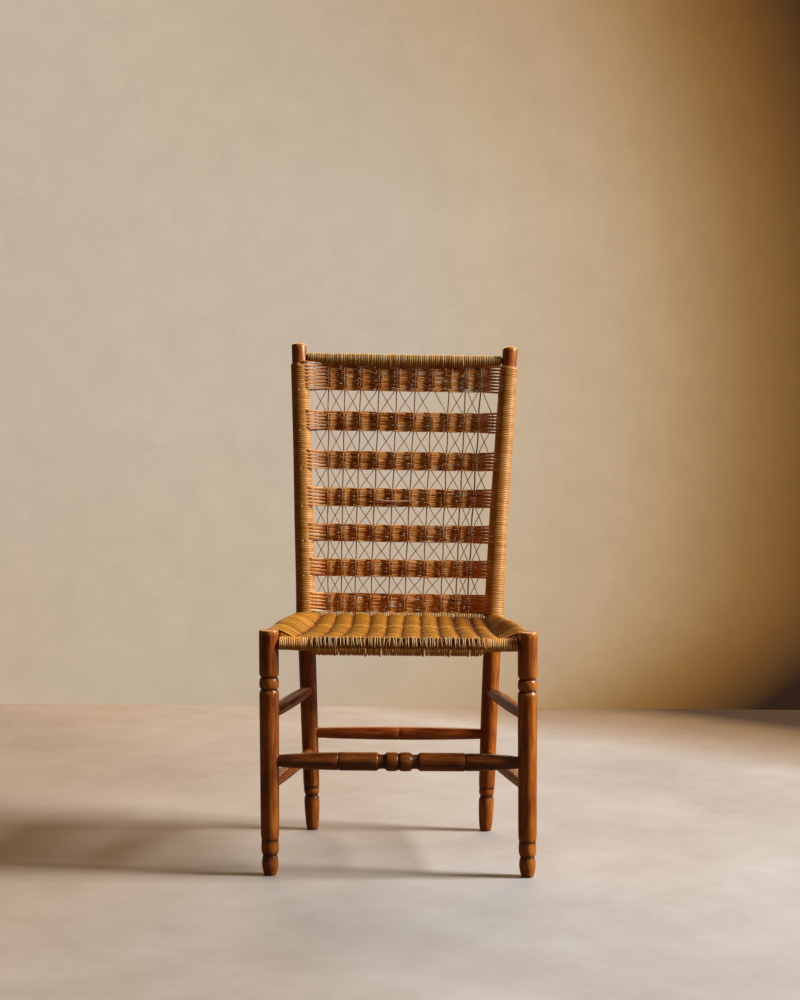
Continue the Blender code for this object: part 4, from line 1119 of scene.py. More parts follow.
@dataclass(frozen=True)
class WovenBack:
    """The openwork back: upright stakes, crossed strands, and bands of paired weft."""

    lines: ChairLines
    stakes_high: tuple[float, ...] = (
        -0.1539, -0.1213, -0.0886, -0.0511, -0.0146, 0.0228, 0.0577, 0.0923, 0.1260, 0.1562,
    )
    stakes_low: tuple[float, ...] = (
        -0.1466, -0.1195, -0.0912, -0.0585, -0.0226, 0.0106, 0.0476, 0.0846, 0.1144, 0.1388,
    )
    last_stake: int = 9
    per_gap: int = 8
    high_level: float = 0.875
    low_level: float = 0.503
    bands: tuple[Pair, ...] = (
        (0.9515, 0.8969), (0.8538, 0.8146), (0.7729, 0.7358), (0.6979, 0.6607), (0.6242, 0.5895), (0.5539, 0.5190),
        (0.4851, 0.4470),
    )
    row_pitch: float = 0.0034
    strand_width: float = 0.0029
    strand_thickness: float = 0.0017
    swing: float = 0.0032
    twist: float = 0.0008
    wander: float = 0.0003
    gains: Pair = (0.9, 1.1)
    meets: Pair = (0.42, 0.68)
    straight_share: float = 0.7
    flip_power: float = 0.25
    post_scale: float = 0.80
    post_length: float = 0.02
    painted_crest_highlight: float = 0.10
    tone_every: int = 9
    tone_follow: float = 0.35
    snapped_band: int = 3
    snapped_strand: tuple[Point, ...] = (
        (-0.047, -0.0012, 0.6718), (-0.041, -0.0048, 0.6722), (-0.012, -0.0052, 0.6716), (0.016, -0.0050, 0.6722),
        (0.024, -0.0058, 0.6714), (0.031, -0.0080, 0.6698),
    )
    # How often strands turn pale in each band: pale cane, with painted glints among it.
    pale_and_glint_shares: tuple[float, ...] = (0.13, 0.03, 0.03, 0.03, 0.03, 0.03, 0.07)
    tone_steps: tuple[float, ...] = (0.25, 0.5, 0.65, 0.8, 0.9, 1.05)
    snapped_tone: float = 1.6
    pale_and_glint_tone: float = 1.7
    stake_radius: float = 0.0015
    stake_foot: float = 0.006
    stake_head: float = 0.003
    missing_stake: int = 6
    missing_span: Pair = (0.8520, 0.8990)
    thin_radius: float = 0.0009
    thin_offset: float = 0.0052
    thin_beside: float = 0.0008
    thin_bow: float = 0.0012
    thin_depth: float = 0.0009
    thin_foot: float = 0.4420
    thin_head: float = 0.004
    broken_columns: tuple[int, ...] = (7, 10)
    over_band: float = 0.0049
    tilt: float = 0.008
    wrap_lift: float = 0.0014
    turn_offset: float = 0.0009
    leave_degrees: float = 66.0
    toward_post: float = 0.08

    def stake_x(self, number: float, height: float) -> float:
        """Return where a stake stands across the back at a height.

        Args:
            number: the stake's number from 0. Numbers between two stakes lie between them, and
                numbers beyond the ends lie one spacing further.
            height: height above the floor.

        Returns:
            The distance from the middle, to the right.
        """
        share = (height - self.low_level) / (self.high_level - self.low_level)

        def at(index: int) -> float:
            """Place a stake of a whole number.

            Args:
                index: its number.

            Returns:
                The distance from the middle, to the right.
            """
            if index < 0:
                return 2 * at(0) - at(1)
            if index > self.last_stake:
                return 2 * at(self.last_stake) - at(self.last_stake - 1)
            return lerp(self.stakes_low[index], self.stakes_high[index], share)

        below = math.floor(number)
        return lerp(at(below), at(below + 1), number - below)

    def stake_phase(self, across: float, height: float) -> float:
        """Return which stake a point across the back lies at, counted from 0, with shares between stakes."""
        numbers = range(self.last_stake + 1)
        return float(np.interp(across, [self.stake_x(i, height) for i in numbers], numbers))

    def pale_and_glint_share(self, number: int, across: float) -> float:
        """Return how often a strand turns pale in a band, more often toward the right, where the extra pale strands
        are painted glints.
        """
        return self.pale_and_glint_shares[number] * lerp(0.4, 1.6, smooth((across + 0.1) / 0.2))

    def build(self, finishes: Finishes) -> None:
        """Make and dress the stakes, the crossed strands and the bands.

        Args:
            finishes: the materials.
        """
        self.build_stakes(finishes)
        self.build_crossed(finishes)
        for number, (top, foot) in enumerate(self.bands):
            self.build_band(number, top, foot, finishes)

    def build_stakes(self, finishes: Finishes) -> None:
        """Make the upright stakes, each slightly uneven as a natural cane is.

        Args:
            finishes: the materials.
        """
        lines = self.lines
        foot, head = lines.seat_level + self.stake_foot, lines.top_rail_level - self.stake_head
        for number in range(self.last_stake + 1):
            chance = random.Random(100 + number)
            side_phase, fine_phase, out_phase, _ = [chance.uniform(0, 6.28) for _ in range(4)]
            bundle = StrandBundle(f"stake_{number + 1:02d}", 2 * self.stake_radius, 1.8 * self.stake_radius)
            spans = [(foot, head)]
            if number == self.missing_stake:
                spans = [(foot, self.missing_span[0]), (self.missing_span[1], head)]
            for low, high in spans:
                steps = max(3, int((high - low) / 0.008))
                points = []
                for i in range(steps + 1):
                    height = lerp(low, high, i / steps)
                    sway = 0.0005 * math.sin(height * 55 + side_phase) + 0.0003 * math.sin(height * 140 + fine_phase)
                    out = 0.0003 * math.sin(height * 90 + out_phase)
                    points.append((lines.up(height), self.stake_x(number, height) + sway, out))
                bundle.lay(points, chance.uniform(0.25, 0.6), [chance.uniform(0.93, 1.05) for _ in points])
            bundle.dress(lines.back_plane() @ UP_THE_BACK, f"back_stake_{number + 1:02d}", finishes.cane)

    def thin_x(self, column: int, side: int, height: float) -> float:
        """Return where a thin strand of a column runs beside its stake at a height."""
        number = column - 1 if side < 0 else column
        return self.stake_x(number, height) - side * self.thin_offset

    def build_crossed(self, finishes: Finishes) -> None:
        """Make the thin strands that cross in every open row, two of them broken in the top one.

        Args:
            finishes: the materials.
        """
        for column in range(self.last_stake + 2):
            chance = random.Random(300 + column)
            bundle = StrandBundle(f"crossing_strands_{column + 1:02d}", 2 * self.thin_radius, 1.8 * self.thin_radius)
            for first_side in (-1, 1):
                broken = column in self.broken_columns and first_side == 1
                high = self.bands[1][0] - 0.001 if broken else self.bands[0][0] + self.thin_head
                points = self.crossed_path(column, first_side, high, chance)
                bundle.lay(points, chance.uniform(0.1, 0.7), [chance.uniform(0.85, 1.1) for _ in points])
            bundle.dress(self.lines.back_plane() @ UP_THE_BACK, f"crossed_strands_{column + 1:02d}", finishes.cane)

    def crossed_path(self, column: int, first_side: int, high: float, chance: random.Random) -> list[Point]:
        """Follow one thin strand down the back.

        Args:
            column: which gap between stakes it runs in, from 0.
            first_side: the side it runs on in the top band, -1 for left.
            high: height of its upper end.
            chance: source of its small unevenness.

        Returns:
            Points (up, across, out) in the back's frame.
        """
        points = []
        side = first_side
        for i, (top, foot) in enumerate(self.bands):
            for share in (0.0, 0.2, 0.5, 0.8, 1.0):
                height = lerp(top, foot, share)
                inside = 0.0 < share < 1.0
                toward_stake = self.thin_offset - self.thin_beside if inside and side > 0 else 0.0
                points.append((self.thin_x(column, side, height) + toward_stake, -self.over_band * inside, height))
            if i == len(self.bands) - 1:
                break
            below = self.bands[i + 1][0]
            bow = chance.uniform(-self.thin_bow, self.thin_bow)
            for j in range(1, 9):
                share = j / 9
                height = lerp(foot, below, share)
                ease = lerp(share, smooth(share), 0.25)
                across = lerp(self.thin_x(column, side, foot), self.thin_x(column, -side, below), ease)
                out = self.thin_depth * first_side * (1 if i % 2 else -1) * math.sin(math.pi * share)
                points.append((across + bow * math.sin(math.pi * share), out, height))
            side = -side
        kept = [point for point in points if self.thin_foot <= point[2] <= high]
        return [(self.lines.up(height), across, out) for across, out, height in kept]

    def post_wrap(self, side: int, height: float) -> Pair:
        """Return a post's centre across and the radius that a weft runs round it at."""
        return side * self.lines.half_spacing(height), self.lines.post_radius(height) + self.wrap_lift

    def build_band(self, number: int, top: float, foot: float, finishes: Finishes) -> None:
        """Make one band: two strands that twist round each other from stake to stake, row on row.

        Args:
            number: which band, from 0 at the top.
            top: height of its upper edge.
            foot: height of its lower edge.
            finishes: the materials.
        """
        chance = random.Random(500 + number)
        rows = max(2, round((top - foot) / self.row_pitch))
        bundle = StrandBundle(f"weft_rows_{number + 1}", self.strand_width, self.strand_thickness)
        for ply in (1, -1):
            points, tones, scales = [], [], []
            tone, aim = 0.5, 0.5
            for row in range(rows):
                height = lerp(top, foot, (row + 0.5) / rows)
                onward = lerp(top, foot, (row + 1.5) / rows)
                travel = 1 if row % 2 == 0 else -1
                line = self.row_path(row, ply, height, travel, chance)
                if row < rows - 1:
                    line += self.turn_round(travel, height, onward, ply, row % 2 == 0)
                points += line
                for i, (x, _, _) in enumerate(line):
                    beyond = smooth((abs(x) - self.stake_x(self.last_stake, height)) / self.post_length)
                    if i % self.tone_every == 0:
                        aim = chance.choice(self.tone_steps) + chance.uniform(-0.1, 0.1)
                        # Pale strands are partly the cane's own pale tone and partly painted glints, more of them
                        # toward the right.
                        if chance.random() < self.pale_and_glint_share(number, x) * (1 - 0.6 * beyond):
                            aim = self.pale_and_glint_tone
                    tone = lerp(tone, aim, self.tone_follow)
                    # Painted highlight: strands are paler where they crest over each stake.
                    near = abs(self.stake_phase(x, height) % 1 - 0.5) * 2
                    crest = self.painted_crest_highlight * smooth((near - 0.8) / 0.2) * (1 - beyond)
                    tones.append(tone + self.toward_post * beyond + crest)
                    scales.append(lerp(1.0, self.post_scale, beyond))
            places = [(x, out, self.lines.up(height - self.tilt * x)) for x, out, height in points]
            bundle.lay(places, tones, scales)
        if number == self.snapped_band:
            bent = through(self.snapped_strand, 3, closed=False)
            loose = [(x, out, self.lines.up(height)) for x, out, height in bent]
            bundle.lay(loose, self.snapped_tone, [0.9] * len(loose))
        bundle.dress(self.lines.back_plane(), f"weft_band_{number + 1}", finishes.back)

    def row_path(self, row: int, ply: int, height: float, travel: int, chance: random.Random) -> list[Point]:
        """Follow one ply of a row from post to post.

        Args:
            row: the row's number in its band. Even rows leave the posts in front, odd ones behind.
            ply: 1 or -1, which of the two twisted strands.
            height: the row's height.
            travel: 1 from left to right, -1 the other way.
            chance: source of its small unevenness.

        Returns:
            Points (across, out, height).
        """
        face = -1 if row % 2 == 0 else 1
        drift = chance.uniform(-self.wander, self.wander)
        lift = [chance.uniform(-self.wander, self.wander) for _ in range(12)]
        reach = ply * self.swing * chance.uniform(*self.gains)
        meets = [chance.uniform(*self.meets) for _ in range(self.last_stake)]
        start = (*self.leave_post(-1, height, face), self.turn_offset)
        first = (self.stake_x(0, height), reach, self.twist)
        last = (self.stake_x(self.last_stake, height), reach * math.cos(math.pi * self.last_stake), self.twist)
        end = (*self.leave_post(1, height, face), self.turn_offset)

        def lead(a: Point, b: Point, share: float) -> Point:
            """Return a point between a post and the stake beside it, each (across, out, offset)."""
            return lerp(a[0], b[0], share), lerp(a[1], b[1], smooth(share)), height + ply * lerp(a[2], b[2], share)

        points = [lead(start, first, i / 5) for i in range(5)]
        for i in range(self.last_stake * self.per_gap + 1):
            run = i / self.per_gap
            gap = min(self.last_stake - 1, int(run))
            phase = gap + skew(run - gap, meets[gap])
            across = self.stake_x(run, height)
            turn = math.cos(math.pi * phase)
            straight = 2 * abs(phase % 2 - 1) - 1
            out = reach * lerp(turn, straight, self.straight_share)
            shift = lerp(lift[gap], lift[gap + 1], run - gap)
            roll = turn + math.sin(math.pi * phase)
            roll = ply * self.twist * math.copysign(abs(roll) ** self.flip_power, roll)
            points.append((across, out, height + drift + shift + roll))
        points += [lead(last, end, i / 5) for i in range(1, 6)]
        return points if travel > 0 else points[::-1]

    def leave_post(self, side: int, height: float, face: int) -> Pair:
        """Find where a weft leaves a post towards the nearest stake.

        Args:
            side: 1 for the right post.
            height: height of the row.
            face: -1 in front, 1 behind.

        Returns:
            The point (across, out).
        """
        centre, radius = self.post_wrap(side, height)
        angle = math.radians(self.leave_degrees)
        return centre - side * radius * math.cos(angle), face * radius * math.sin(angle)

    def turn_round(self, side: int, height: float, onward: float, ply: int, from_front: bool) -> list[Point]:
        """Follow a weft round the outside of a post, from one row to the next.

        Args:
            side: 1 for the right post.
            height: height of the row it comes from.
            onward: height of the row it goes to.
            ply: which strand of the pair.
            from_front: whether it arrives in front of the post.

        Returns:
            Points (across, out, height).
        """
        points = []
        steps = 12
        begin = (self.leave_degrees - 180) * (1 if from_front else -1)
        for i in range(1, steps):
            level = lerp(height, onward, i / steps)
            centre, radius = self.post_wrap(side, level)
            turn = math.radians(lerp(begin, -begin, i / steps))
            out = radius * math.sin(turn)
            points.append((centre + side * radius * math.cos(turn), out, level + self.turn_offset * ply))
        return points


@dataclass(frozen=True)
class PostWrapping:
    """The split cane wound closely round each back post, over the wefts that turn round it."""

    lines: ChairLines
    side_name: str
    bands: tuple[Pair, ...]
    pitch: float = 0.0036
    width: float = 0.0038
    thickness: float = 0.0016
    flat: float = 0.47
    lift: float = 0.0011
    start_below: float = 0.0050
    tone_steps: tuple[float, ...] = (0.42, 0.5, 0.55, 0.6)
    steps: int = 24

    def build(self, finishes: Finishes) -> None:
        """Make and dress one post's wrapping.

        Args:
            finishes: the materials.
        """
        side = SIDES[self.side_name]
        chance = random.Random(700 + side)
        bundle = StrandBundle(f"post_wrapping_{self.side_name}", self.width, self.thickness, self.flat)
        heads = [self.bands[0][0] - self.start_below] + [foot for _, foot in self.bands[:-1]]
        feet = heads[1:] + [self.bands[-1][1] - 2 * self.pitch]
        for head, foot in zip(heads, feet):
            self.wind(bundle, head, foot, chance)
        bundle.dress(self.lines.back_plane(), f"post_winding_{self.side_name}", finishes.wrap)

    def wind(self, bundle: StrandBundle, head: float, foot: float, chance: random.Random) -> None:
        """Wind one length of cane round the post.

        Args:
            bundle: where it goes.
            head: height of its upper end.
            foot: height of its lower end.
            chance: source of its small unevenness.
        """
        lines = self.lines
        side = SIDES[self.side_name]
        loops = max(1, round((head - foot) / self.pitch))
        points, tones, scales = [], [], []
        tone, scale = 0.5, 1.0
        for i in range(loops * self.steps + 1):
            if i % self.steps == 0:
                aim = chance.choice(self.tone_steps)
                scale = chance.uniform(0.95, 1.06)
            tone = lerp(tone, aim, 0.2)
            height = lerp(head, foot, i / (loops * self.steps))
            radius = lines.post_radius(height) + self.lift + self.thickness / 2
            angle = side * (2 * math.pi * i / self.steps + math.pi / 2)
            centre = side * lines.half_spacing(height)
            points.append((centre + radius * math.cos(angle), radius * math.sin(angle), lines.up(height)))
            tones.append(tone)
            scales.append(scale)
        bundle.lay(points, tones, scales)


@dataclass(frozen=True)
class RailWrapping:
    """Split cane wound round a rail, loop beside loop, some loops pinched, slanted or loose.

    The middle stretch may be wound deeper than the ends, with a painted shade on its top under looser strands.
    """

    name: str
    node: str
    end_loop: tuple[Pair, ...]
    middle_loop: tuple[Pair, ...]
    half_span: float
    pitch: float
    width: float
    thickness: float
    seed: int
    loose_share: float = 0.0
    pinch: float = 0.0
    # Shift of the tone on each loop's upper part: paler above zero, darker below.
    upper_tone_shift: float = 0.0
    middle_top_painted_shade: float | None = None
    painted_light_lift: float = 0.0
    unevenness: float = 0.1
    per_span: int = 2
    flat: float = 0.33
    step_at: float | None = None
    step_length: float = 0.022
    loose_at: tuple[float, ...] = ()
    loose_slant: float = 0.0022
    slant: float = 1.6
    sags: Pair = (0.0008, 0.0020)
    sag_below: float = 0.004
    growths: Pair = (-0.0001, 0.0002)
    sizes: Pair = (0.96, 1.08)
    tones: Pair = (0.2, 0.75)

    def build(self, material: bpy.types.Material) -> None:
        """Make and dress the wrapping.

        Args:
            material: its finish.
        """
        chance = random.Random(self.seed)
        bundle = StrandBundle(self.name, self.width, self.thickness, self.flat)
        count = round(2 * self.half_span / self.pitch)
        for number in range(count):
            across = lerp(-self.half_span, self.half_span, (number + 0.5) / count)
            bulge = self.bulge(across)
            loops = zip(self.end_loop, self.middle_loop)
            corners = [(lerp(a[0], b[0], bulge), lerp(a[1], b[1], bulge)) for a, b in loops]
            loose = any(abs(across - place) < self.pitch / 2 for place in self.loose_at)
            across += chance.uniform(-1, 1) * self.unevenness * self.pitch
            self.wind(bundle, through(corners, self.per_span), across, bulge, loose, chance)
        bundle.dress(ACROSS_RAIL, self.node, material)

    def bulge(self, across: float) -> float:
        """Find how far the loops have changed from the end loop's form to the middle loop's.

        Args:
            across: how far along the rail.

        Returns:
            0 for the end loop, 1 for the middle one.
        """
        if self.step_at is None:
            return math.cos(math.pi / 2 * across / self.half_span) ** 0.6
        return smooth((self.step_at - abs(across)) / self.step_length)

    def wind(
        self,
        bundle: StrandBundle,
        ring: Sequence[Pair],
        across: float,
        bulge: float,
        loose: bool,
        chance: random.Random,
    ) -> None:
        """Lay one loop.

        Args:
            bundle: where it goes.
            ring: the loop's (depth, height) outline.
            across: how far along the rail it sits.
            bulge: how much of the middle loop's form it has.
            loose: whether it hangs away from the rail.
            chance: source of its small unevenness.
        """
        middle = [sum(point[axis] for point in ring) / len(ring) for axis in (0, 1)]
        top, foot = max(p[1] for p in ring), min(p[1] for p in ring)
        slant = chance.gauss(0, self.slant) * self.unevenness * self.pitch
        sag = chance.uniform(*self.sags) if loose or chance.random() < self.loose_share else 0.0
        slant += self.loose_slant if loose else 0.0
        # In the deeper middle stretch the shift is a painted shade on the loops' tops.
        upper_tone_shift = self.upper_tone_shift if self.middle_top_painted_shade is None else lerp(self.upper_tone_shift, self.middle_top_painted_shade, bulge)
        grow = chance.uniform(*self.growths)
        size = chance.uniform(*self.sizes)
        # Painted light: a set lift of the tone over every loop of the wrapping.
        tone = chance.uniform(*self.tones) + self.painted_light_lift
        points, scales, tones = [], [], []
        for deep, high in ring:
            away = Vector((deep - middle[0], high - middle[1])).normalized()
            push = grow + sag * smooth((middle[1] + self.sag_below - high) / (middle[1] - foot))
            upper = smooth((high - middle[1] + 0.002) / (top - middle[1]) * 1.4)
            lean = slant * (high - middle[1]) / (top - middle[1])
            points.append((deep + away.x * push, high + away.y * push, across + lean))
            scales.append(size * (1 - self.pinch * upper))
            tones.append(tone + upper_tone_shift * upper)
        bundle.lay(points, tones, scales, closed=True)


@dataclass(frozen=True)
class EdgeStrands:
    """Pale round strands that bind the seat's front rows over the wrapped rail, in uneven pairs."""

    front: float
    half_span: float = 0.158
    width: float = 0.0021
    spacings: tuple[float, ...] = (0.0028, 0.0036, 0.0046, 0.0060, 0.0074)
    drops: Pair = (-0.0010, 0.0022)
    slant: float = 0.0008
    slant_spread: float = 0.0012
    raised: float = 0.0005
    sizes: Pair = (0.85, 1.3)
    tones: Pair = (1.05, 0.7)
    fades: Pair = (-0.35, 0.3)
    path: tuple[Pair, ...] = (
        (0.0120, 0.4380), (0.0060, 0.4410), (-0.0020, 0.4421), (-0.0092, 0.4402),
        (-0.0138, 0.4352), (-0.0154, 0.4305), (-0.0150, 0.4275), (-0.0118, 0.4255),
    )

    def build(self, material: bpy.types.Material) -> None:
        """Make and dress the strands.

        Args:
            material: their finish.
        """
        chance = random.Random(77)
        bundle = StrandBundle("front_edge_strands", self.width, self.width * 0.9, 0.2)
        across = -self.half_span
        while across < self.half_span:
            drop = chance.uniform(*self.drops)
            slant = chance.gauss(self.slant, self.slant_spread)
            raised = chance.uniform(-self.raised, self.raised)
            size = chance.uniform(*self.sizes)
            points, tones = [], []
            line = through(self.path, 2, closed=False)
            for i, (deep, high) in enumerate(line):
                share = i / (len(line) - 1)
                level = high + raised - drop * smooth((share - 0.4) / 0.6)
                points.append((self.front + deep, level, across + slant * (2 * share - 1)))
                tones.append(lerp(*self.tones, share))
            fade = chance.uniform(*self.fades)
            bundle.lay(points, [tone + fade for tone in tones], [size] * len(points))
            across += chance.choice(self.spacings)
        bundle.dress(ACROSS_RAIL, "front_rail_winding", material)


@dataclass(frozen=True)
class WovenSeat:
    """The seat: strands run from side rail to side rail over ten soft front-to-back ribs.

    Each row is one closed loop. It goes over one rib and under the next, round the far side rail,
    and comes back the other way round, so that every rib is covered above and below.
    """

    lines: ChairLines
    pitch: float = 0.0034
    width: float = 0.0033
    thickness: float = 0.0014
    front_row: float = 0.0165
    rear_row: float = 0.3480
    first_row: float = 0.0040
    front_rows: int = 4
    puffs: Pair = (0.92, 1.08)
    tones: Pair = (0.05, 0.85)
    tone_follow: float = 0.75
    groove_shade: float = 0.55
    shaded_half: float = 0.19
    front_grooves: tuple[float, ...] = (
        -0.1905, -0.1460, -0.1105, -0.0645, -0.0283, 0.0045, 0.0415, 0.0790, 0.1160, 0.1543, 0.1890,
    )
    middle_grooves: tuple[float, ...] = (
        -0.1705, -0.1322, -0.0955, -0.0585, -0.0246, 0.0066, 0.0421, 0.0765, 0.1099, 0.1466, 0.1775,
    )
    rear_grooves: tuple[float, ...] = (
        -0.1580, -0.1282, -0.0955, -0.0590, -0.0250, 0.0092, 0.0407, 0.0745, 0.1056, 0.1398, 0.1645,
    )
    front_level: float = 0.4368
    rear_level: float = 0.4412
    sag: float = 0.0060
    rise: float = 0.0050
    drop: float = 0.0030
    sleeve_depths: tuple[float, ...] = (0.018, 0.050, 0.080, 0.110, 0.140, 0.180, 0.220, 0.260, 0.300, 0.345)
    left_sleeve: tuple[float, ...] = (
        0.0146, 0.0157, 0.0161, 0.0178, 0.0199, 0.0207, 0.0205, 0.0203, 0.0191, 0.0160,
    )
    right_sleeve: tuple[float, ...] = (
        0.0146, 0.0146, 0.0146, 0.0159, 0.0168, 0.0172, 0.0162, 0.0149, 0.0146, 0.0146,
    )
    left_bulge: float = 0.0030
    right_bulge: float = 0.0
    right_drop: float = 0.0050
    ribs: int = 10
    per_rib: int = 8
    at_leg: tuple[Pair, ...] = (
        (0.3, 0.0020), (0.6, 0.0055), (0.9, 0.0100), (1.0, 0.0090), (0.9, 0.0040), (0.5, -0.0010),
    )
    at_post: tuple[Pair, ...] = (
        (0.35, 0.0012), (0.7, 0.0022), (0.95, 0.0022), (1.0, 0.0), (0.95, -0.0022), (0.5, -0.0015),
    )
    sunk_length: float = 0.016
    sunk_most: float = 0.55
    sunk_right: float = 0.35
    clearance: float = 0.0012
    short_of_rail: float = 0.0010
    over_degrees: Pair = (108.0, -116.0)
    pieces: tuple[str, ...] = ("front", "middle", "rear")

    def rail(self, depth: float, side: int) -> Point:
        """Find a side rail and the strands round it.

        Args:
            depth: distance behind the front legs.
            side: -1 for the left rail, 1 for the right one.

        Returns:
            The rail's distance from the middle, its level, and the radius of the strands.
        """
        lines = self.lines
        share = depth / lines.lean(lines.side_rail_rear)
        across = lerp(lines.leg_spacing / 2, lines.half_spacing(lines.side_rail_rear), share)
        level = lerp(lines.side_rail_front, lines.side_rail_rear, share)
        radius = np.interp(depth, self.sleeve_depths, self.left_sleeve if side < 0 else self.right_sleeve)
        return across, level, float(radius)

    def over_rail(self, depth: float, side: int, edge: float, level: float) -> list[Pair]:
        """Follow a row from the last groove over a side rail, round it and back underneath.

        Args:
            depth: the row's distance behind the front legs.
            side: -1 for the left rail, 1 for the right one.
            edge: how far from the middle the last groove lies.
            level: the groove's height.

        Returns:
            Points (distance from the middle, height).
        """
        lines = self.lines
        if depth < lines.leg_radius + self.short_of_rail:
            inner = lines.leg_spacing / 2 - lines.leg_radius - self.clearance
            sunk = smooth((lines.leg_radius - depth) / self.sunk_length) * self.sunk_most
            sunk += self.sunk_right if side > 0 else 0.0
            return [(lerp(edge, inner, share), level + rise * (1 - sunk)) for share, rise in self.at_leg]
        if depth > lines.post_seat_depth - lines.seat_radius - self.short_of_rail:
            inner = lines.half_spacing(lines.seat_level) - lines.seat_radius - self.clearance
            return [(lerp(edge, inner, share), level + rise) for share, rise in self.at_post]
        across, rail_level, radius = self.rail(depth, side)
        bulge_most = self.left_bulge if side < 0 else self.right_bulge
        start_angle, end_angle = (math.radians(turn) for turn in self.over_degrees)
        found = []
        top = (across + radius * math.cos(start_angle), rail_level + radius * math.sin(start_angle))
        for i in range(1, 7):
            part = i / 7
            bulge = bulge_most * math.sin(math.pi * part)
            found.append((lerp(edge, top[0], part), lerp(level, top[1], lerp(part, smooth(part), 0.4)) + bulge))
        for i in range(13):
            angle = lerp(start_angle, end_angle, i / 12)
            found.append((across + radius * math.cos(angle), rail_level + radius * math.sin(angle)))
        under = found[-1]
        for i in range(1, 6):
            part = i / 6
            found.append((lerp(under[0], edge, part), lerp(under[1], level, smooth(part))))
        return found

    def row(self, depth: float, chance: random.Random) -> list[Point]:
        """Follow one row all the way round.

        Args:
            depth: its distance behind the front legs.
            chance: source of its small unevenness.

        Returns:
            Points (across, height, minus depth in the chair's frame) of a closed path.
        """
        share = max(0.0, (depth - self.front_row) / (self.rear_row - self.front_row))
        grooves = [
            front * (1 - share) * (1 - 2 * share) + 4 * middle * share * (1 - share) + rear * share * (2 * share - 1)
            for front, middle, rear in zip(self.front_grooves, self.middle_grooves, self.rear_grooves)
        ]
        level = lerp(self.front_level, self.rear_level, share) - self.sag * math.sin(math.pi * share)
        puff = chance.uniform(*self.puffs)
        waves = [chance.uniform(0, 6.28), chance.uniform(0, 6.28)]

        def place(x: float, z: float, shift: float) -> Point:
            """Return a point of the row, a little off its line."""
            wander = 0.0004 * math.sin(x * 30 + waves[0]) + 0.0002 * math.sin(x * 83 + waves[1])
            return x, z, -(self.lines.front + depth + wander + shift)

        def drop_to(phase: float) -> float:
            """Return the row's level at a rib, lower toward the right."""
            return level - self.right_drop * share * smooth((phase - self.ribs / 2) / 4.5)

        def ply(sign: int) -> list[Point]:
            """Follow the row over one rib and under the next.

            Args:
                sign: 1 to go over the first rib, -1 to go under it.

            Returns:
                Points from the left to the right.
            """
            found = []
            for i in range(self.ribs * self.per_rib + 1):
                phase = i / self.per_rib
                rib = min(self.ribs - 1, int(phase))
                wave = sign * math.sin(math.pi * phase)
                most = self.rise if wave > 0 else self.drop
                height = drop_to(phase) + puff * most * math.copysign(abs(wave) ** 0.8, wave)
                x = lerp(grooves[rib], grooves[rib + 1], phase - rib)
                found.append(place(x, height, 0.0005 * sign * math.cos(math.pi * phase)))
            return found

        right = [place(x, z, 0.0) for x, z in self.over_rail(depth, 1, grooves[-1], drop_to(self.ribs))]
        left = [place(-x, z, 0.0) for x, z in reversed(self.over_rail(depth, -1, -grooves[0], level))]
        return ply(1) + right + ply(-1)[::-1] + left

    def build(self, finishes: Finishes) -> None:
        """Make and dress the seat in three runs of rows.

        Args:
            finishes: the materials.
        """
        chance = random.Random(900)
        count = round((self.rear_row - self.front_row) / self.pitch)
        share = count / len(self.pieces)
        tone = 0.5
        for index, word in enumerate(self.pieces):
            bundle = StrandBundle(f"seat_rows_{word}", self.width, self.thickness)
            depths = [
                lerp(self.front_row, self.rear_row, (number + 0.5) / count)
                for number in range(round(index * share), round((index + 1) * share))
            ]
            if index == 0:
                depths = [self.first_row + self.pitch * i for i in range(self.front_rows)] + depths
            for depth in depths:
                tone = lerp(tone, chance.uniform(*self.tones), self.tone_follow)
                points = self.row(depth, chance)
                top = max(z for x, z, _ in points if abs(x) < 0.1)
                # Painted shade: the rows darken down the ribs' flanks into the grooves.
                sunk = [smooth((top - z) / self.rise - 0.35) * (abs(x) < self.shaded_half) for x, z, _ in points]
                bundle.lay(points, [tone - self.groove_shade * share for share in sunk], closed=True)
            bundle.dress(ACROSS_SEAT, "seat_weave", finishes.seat)


# Studio


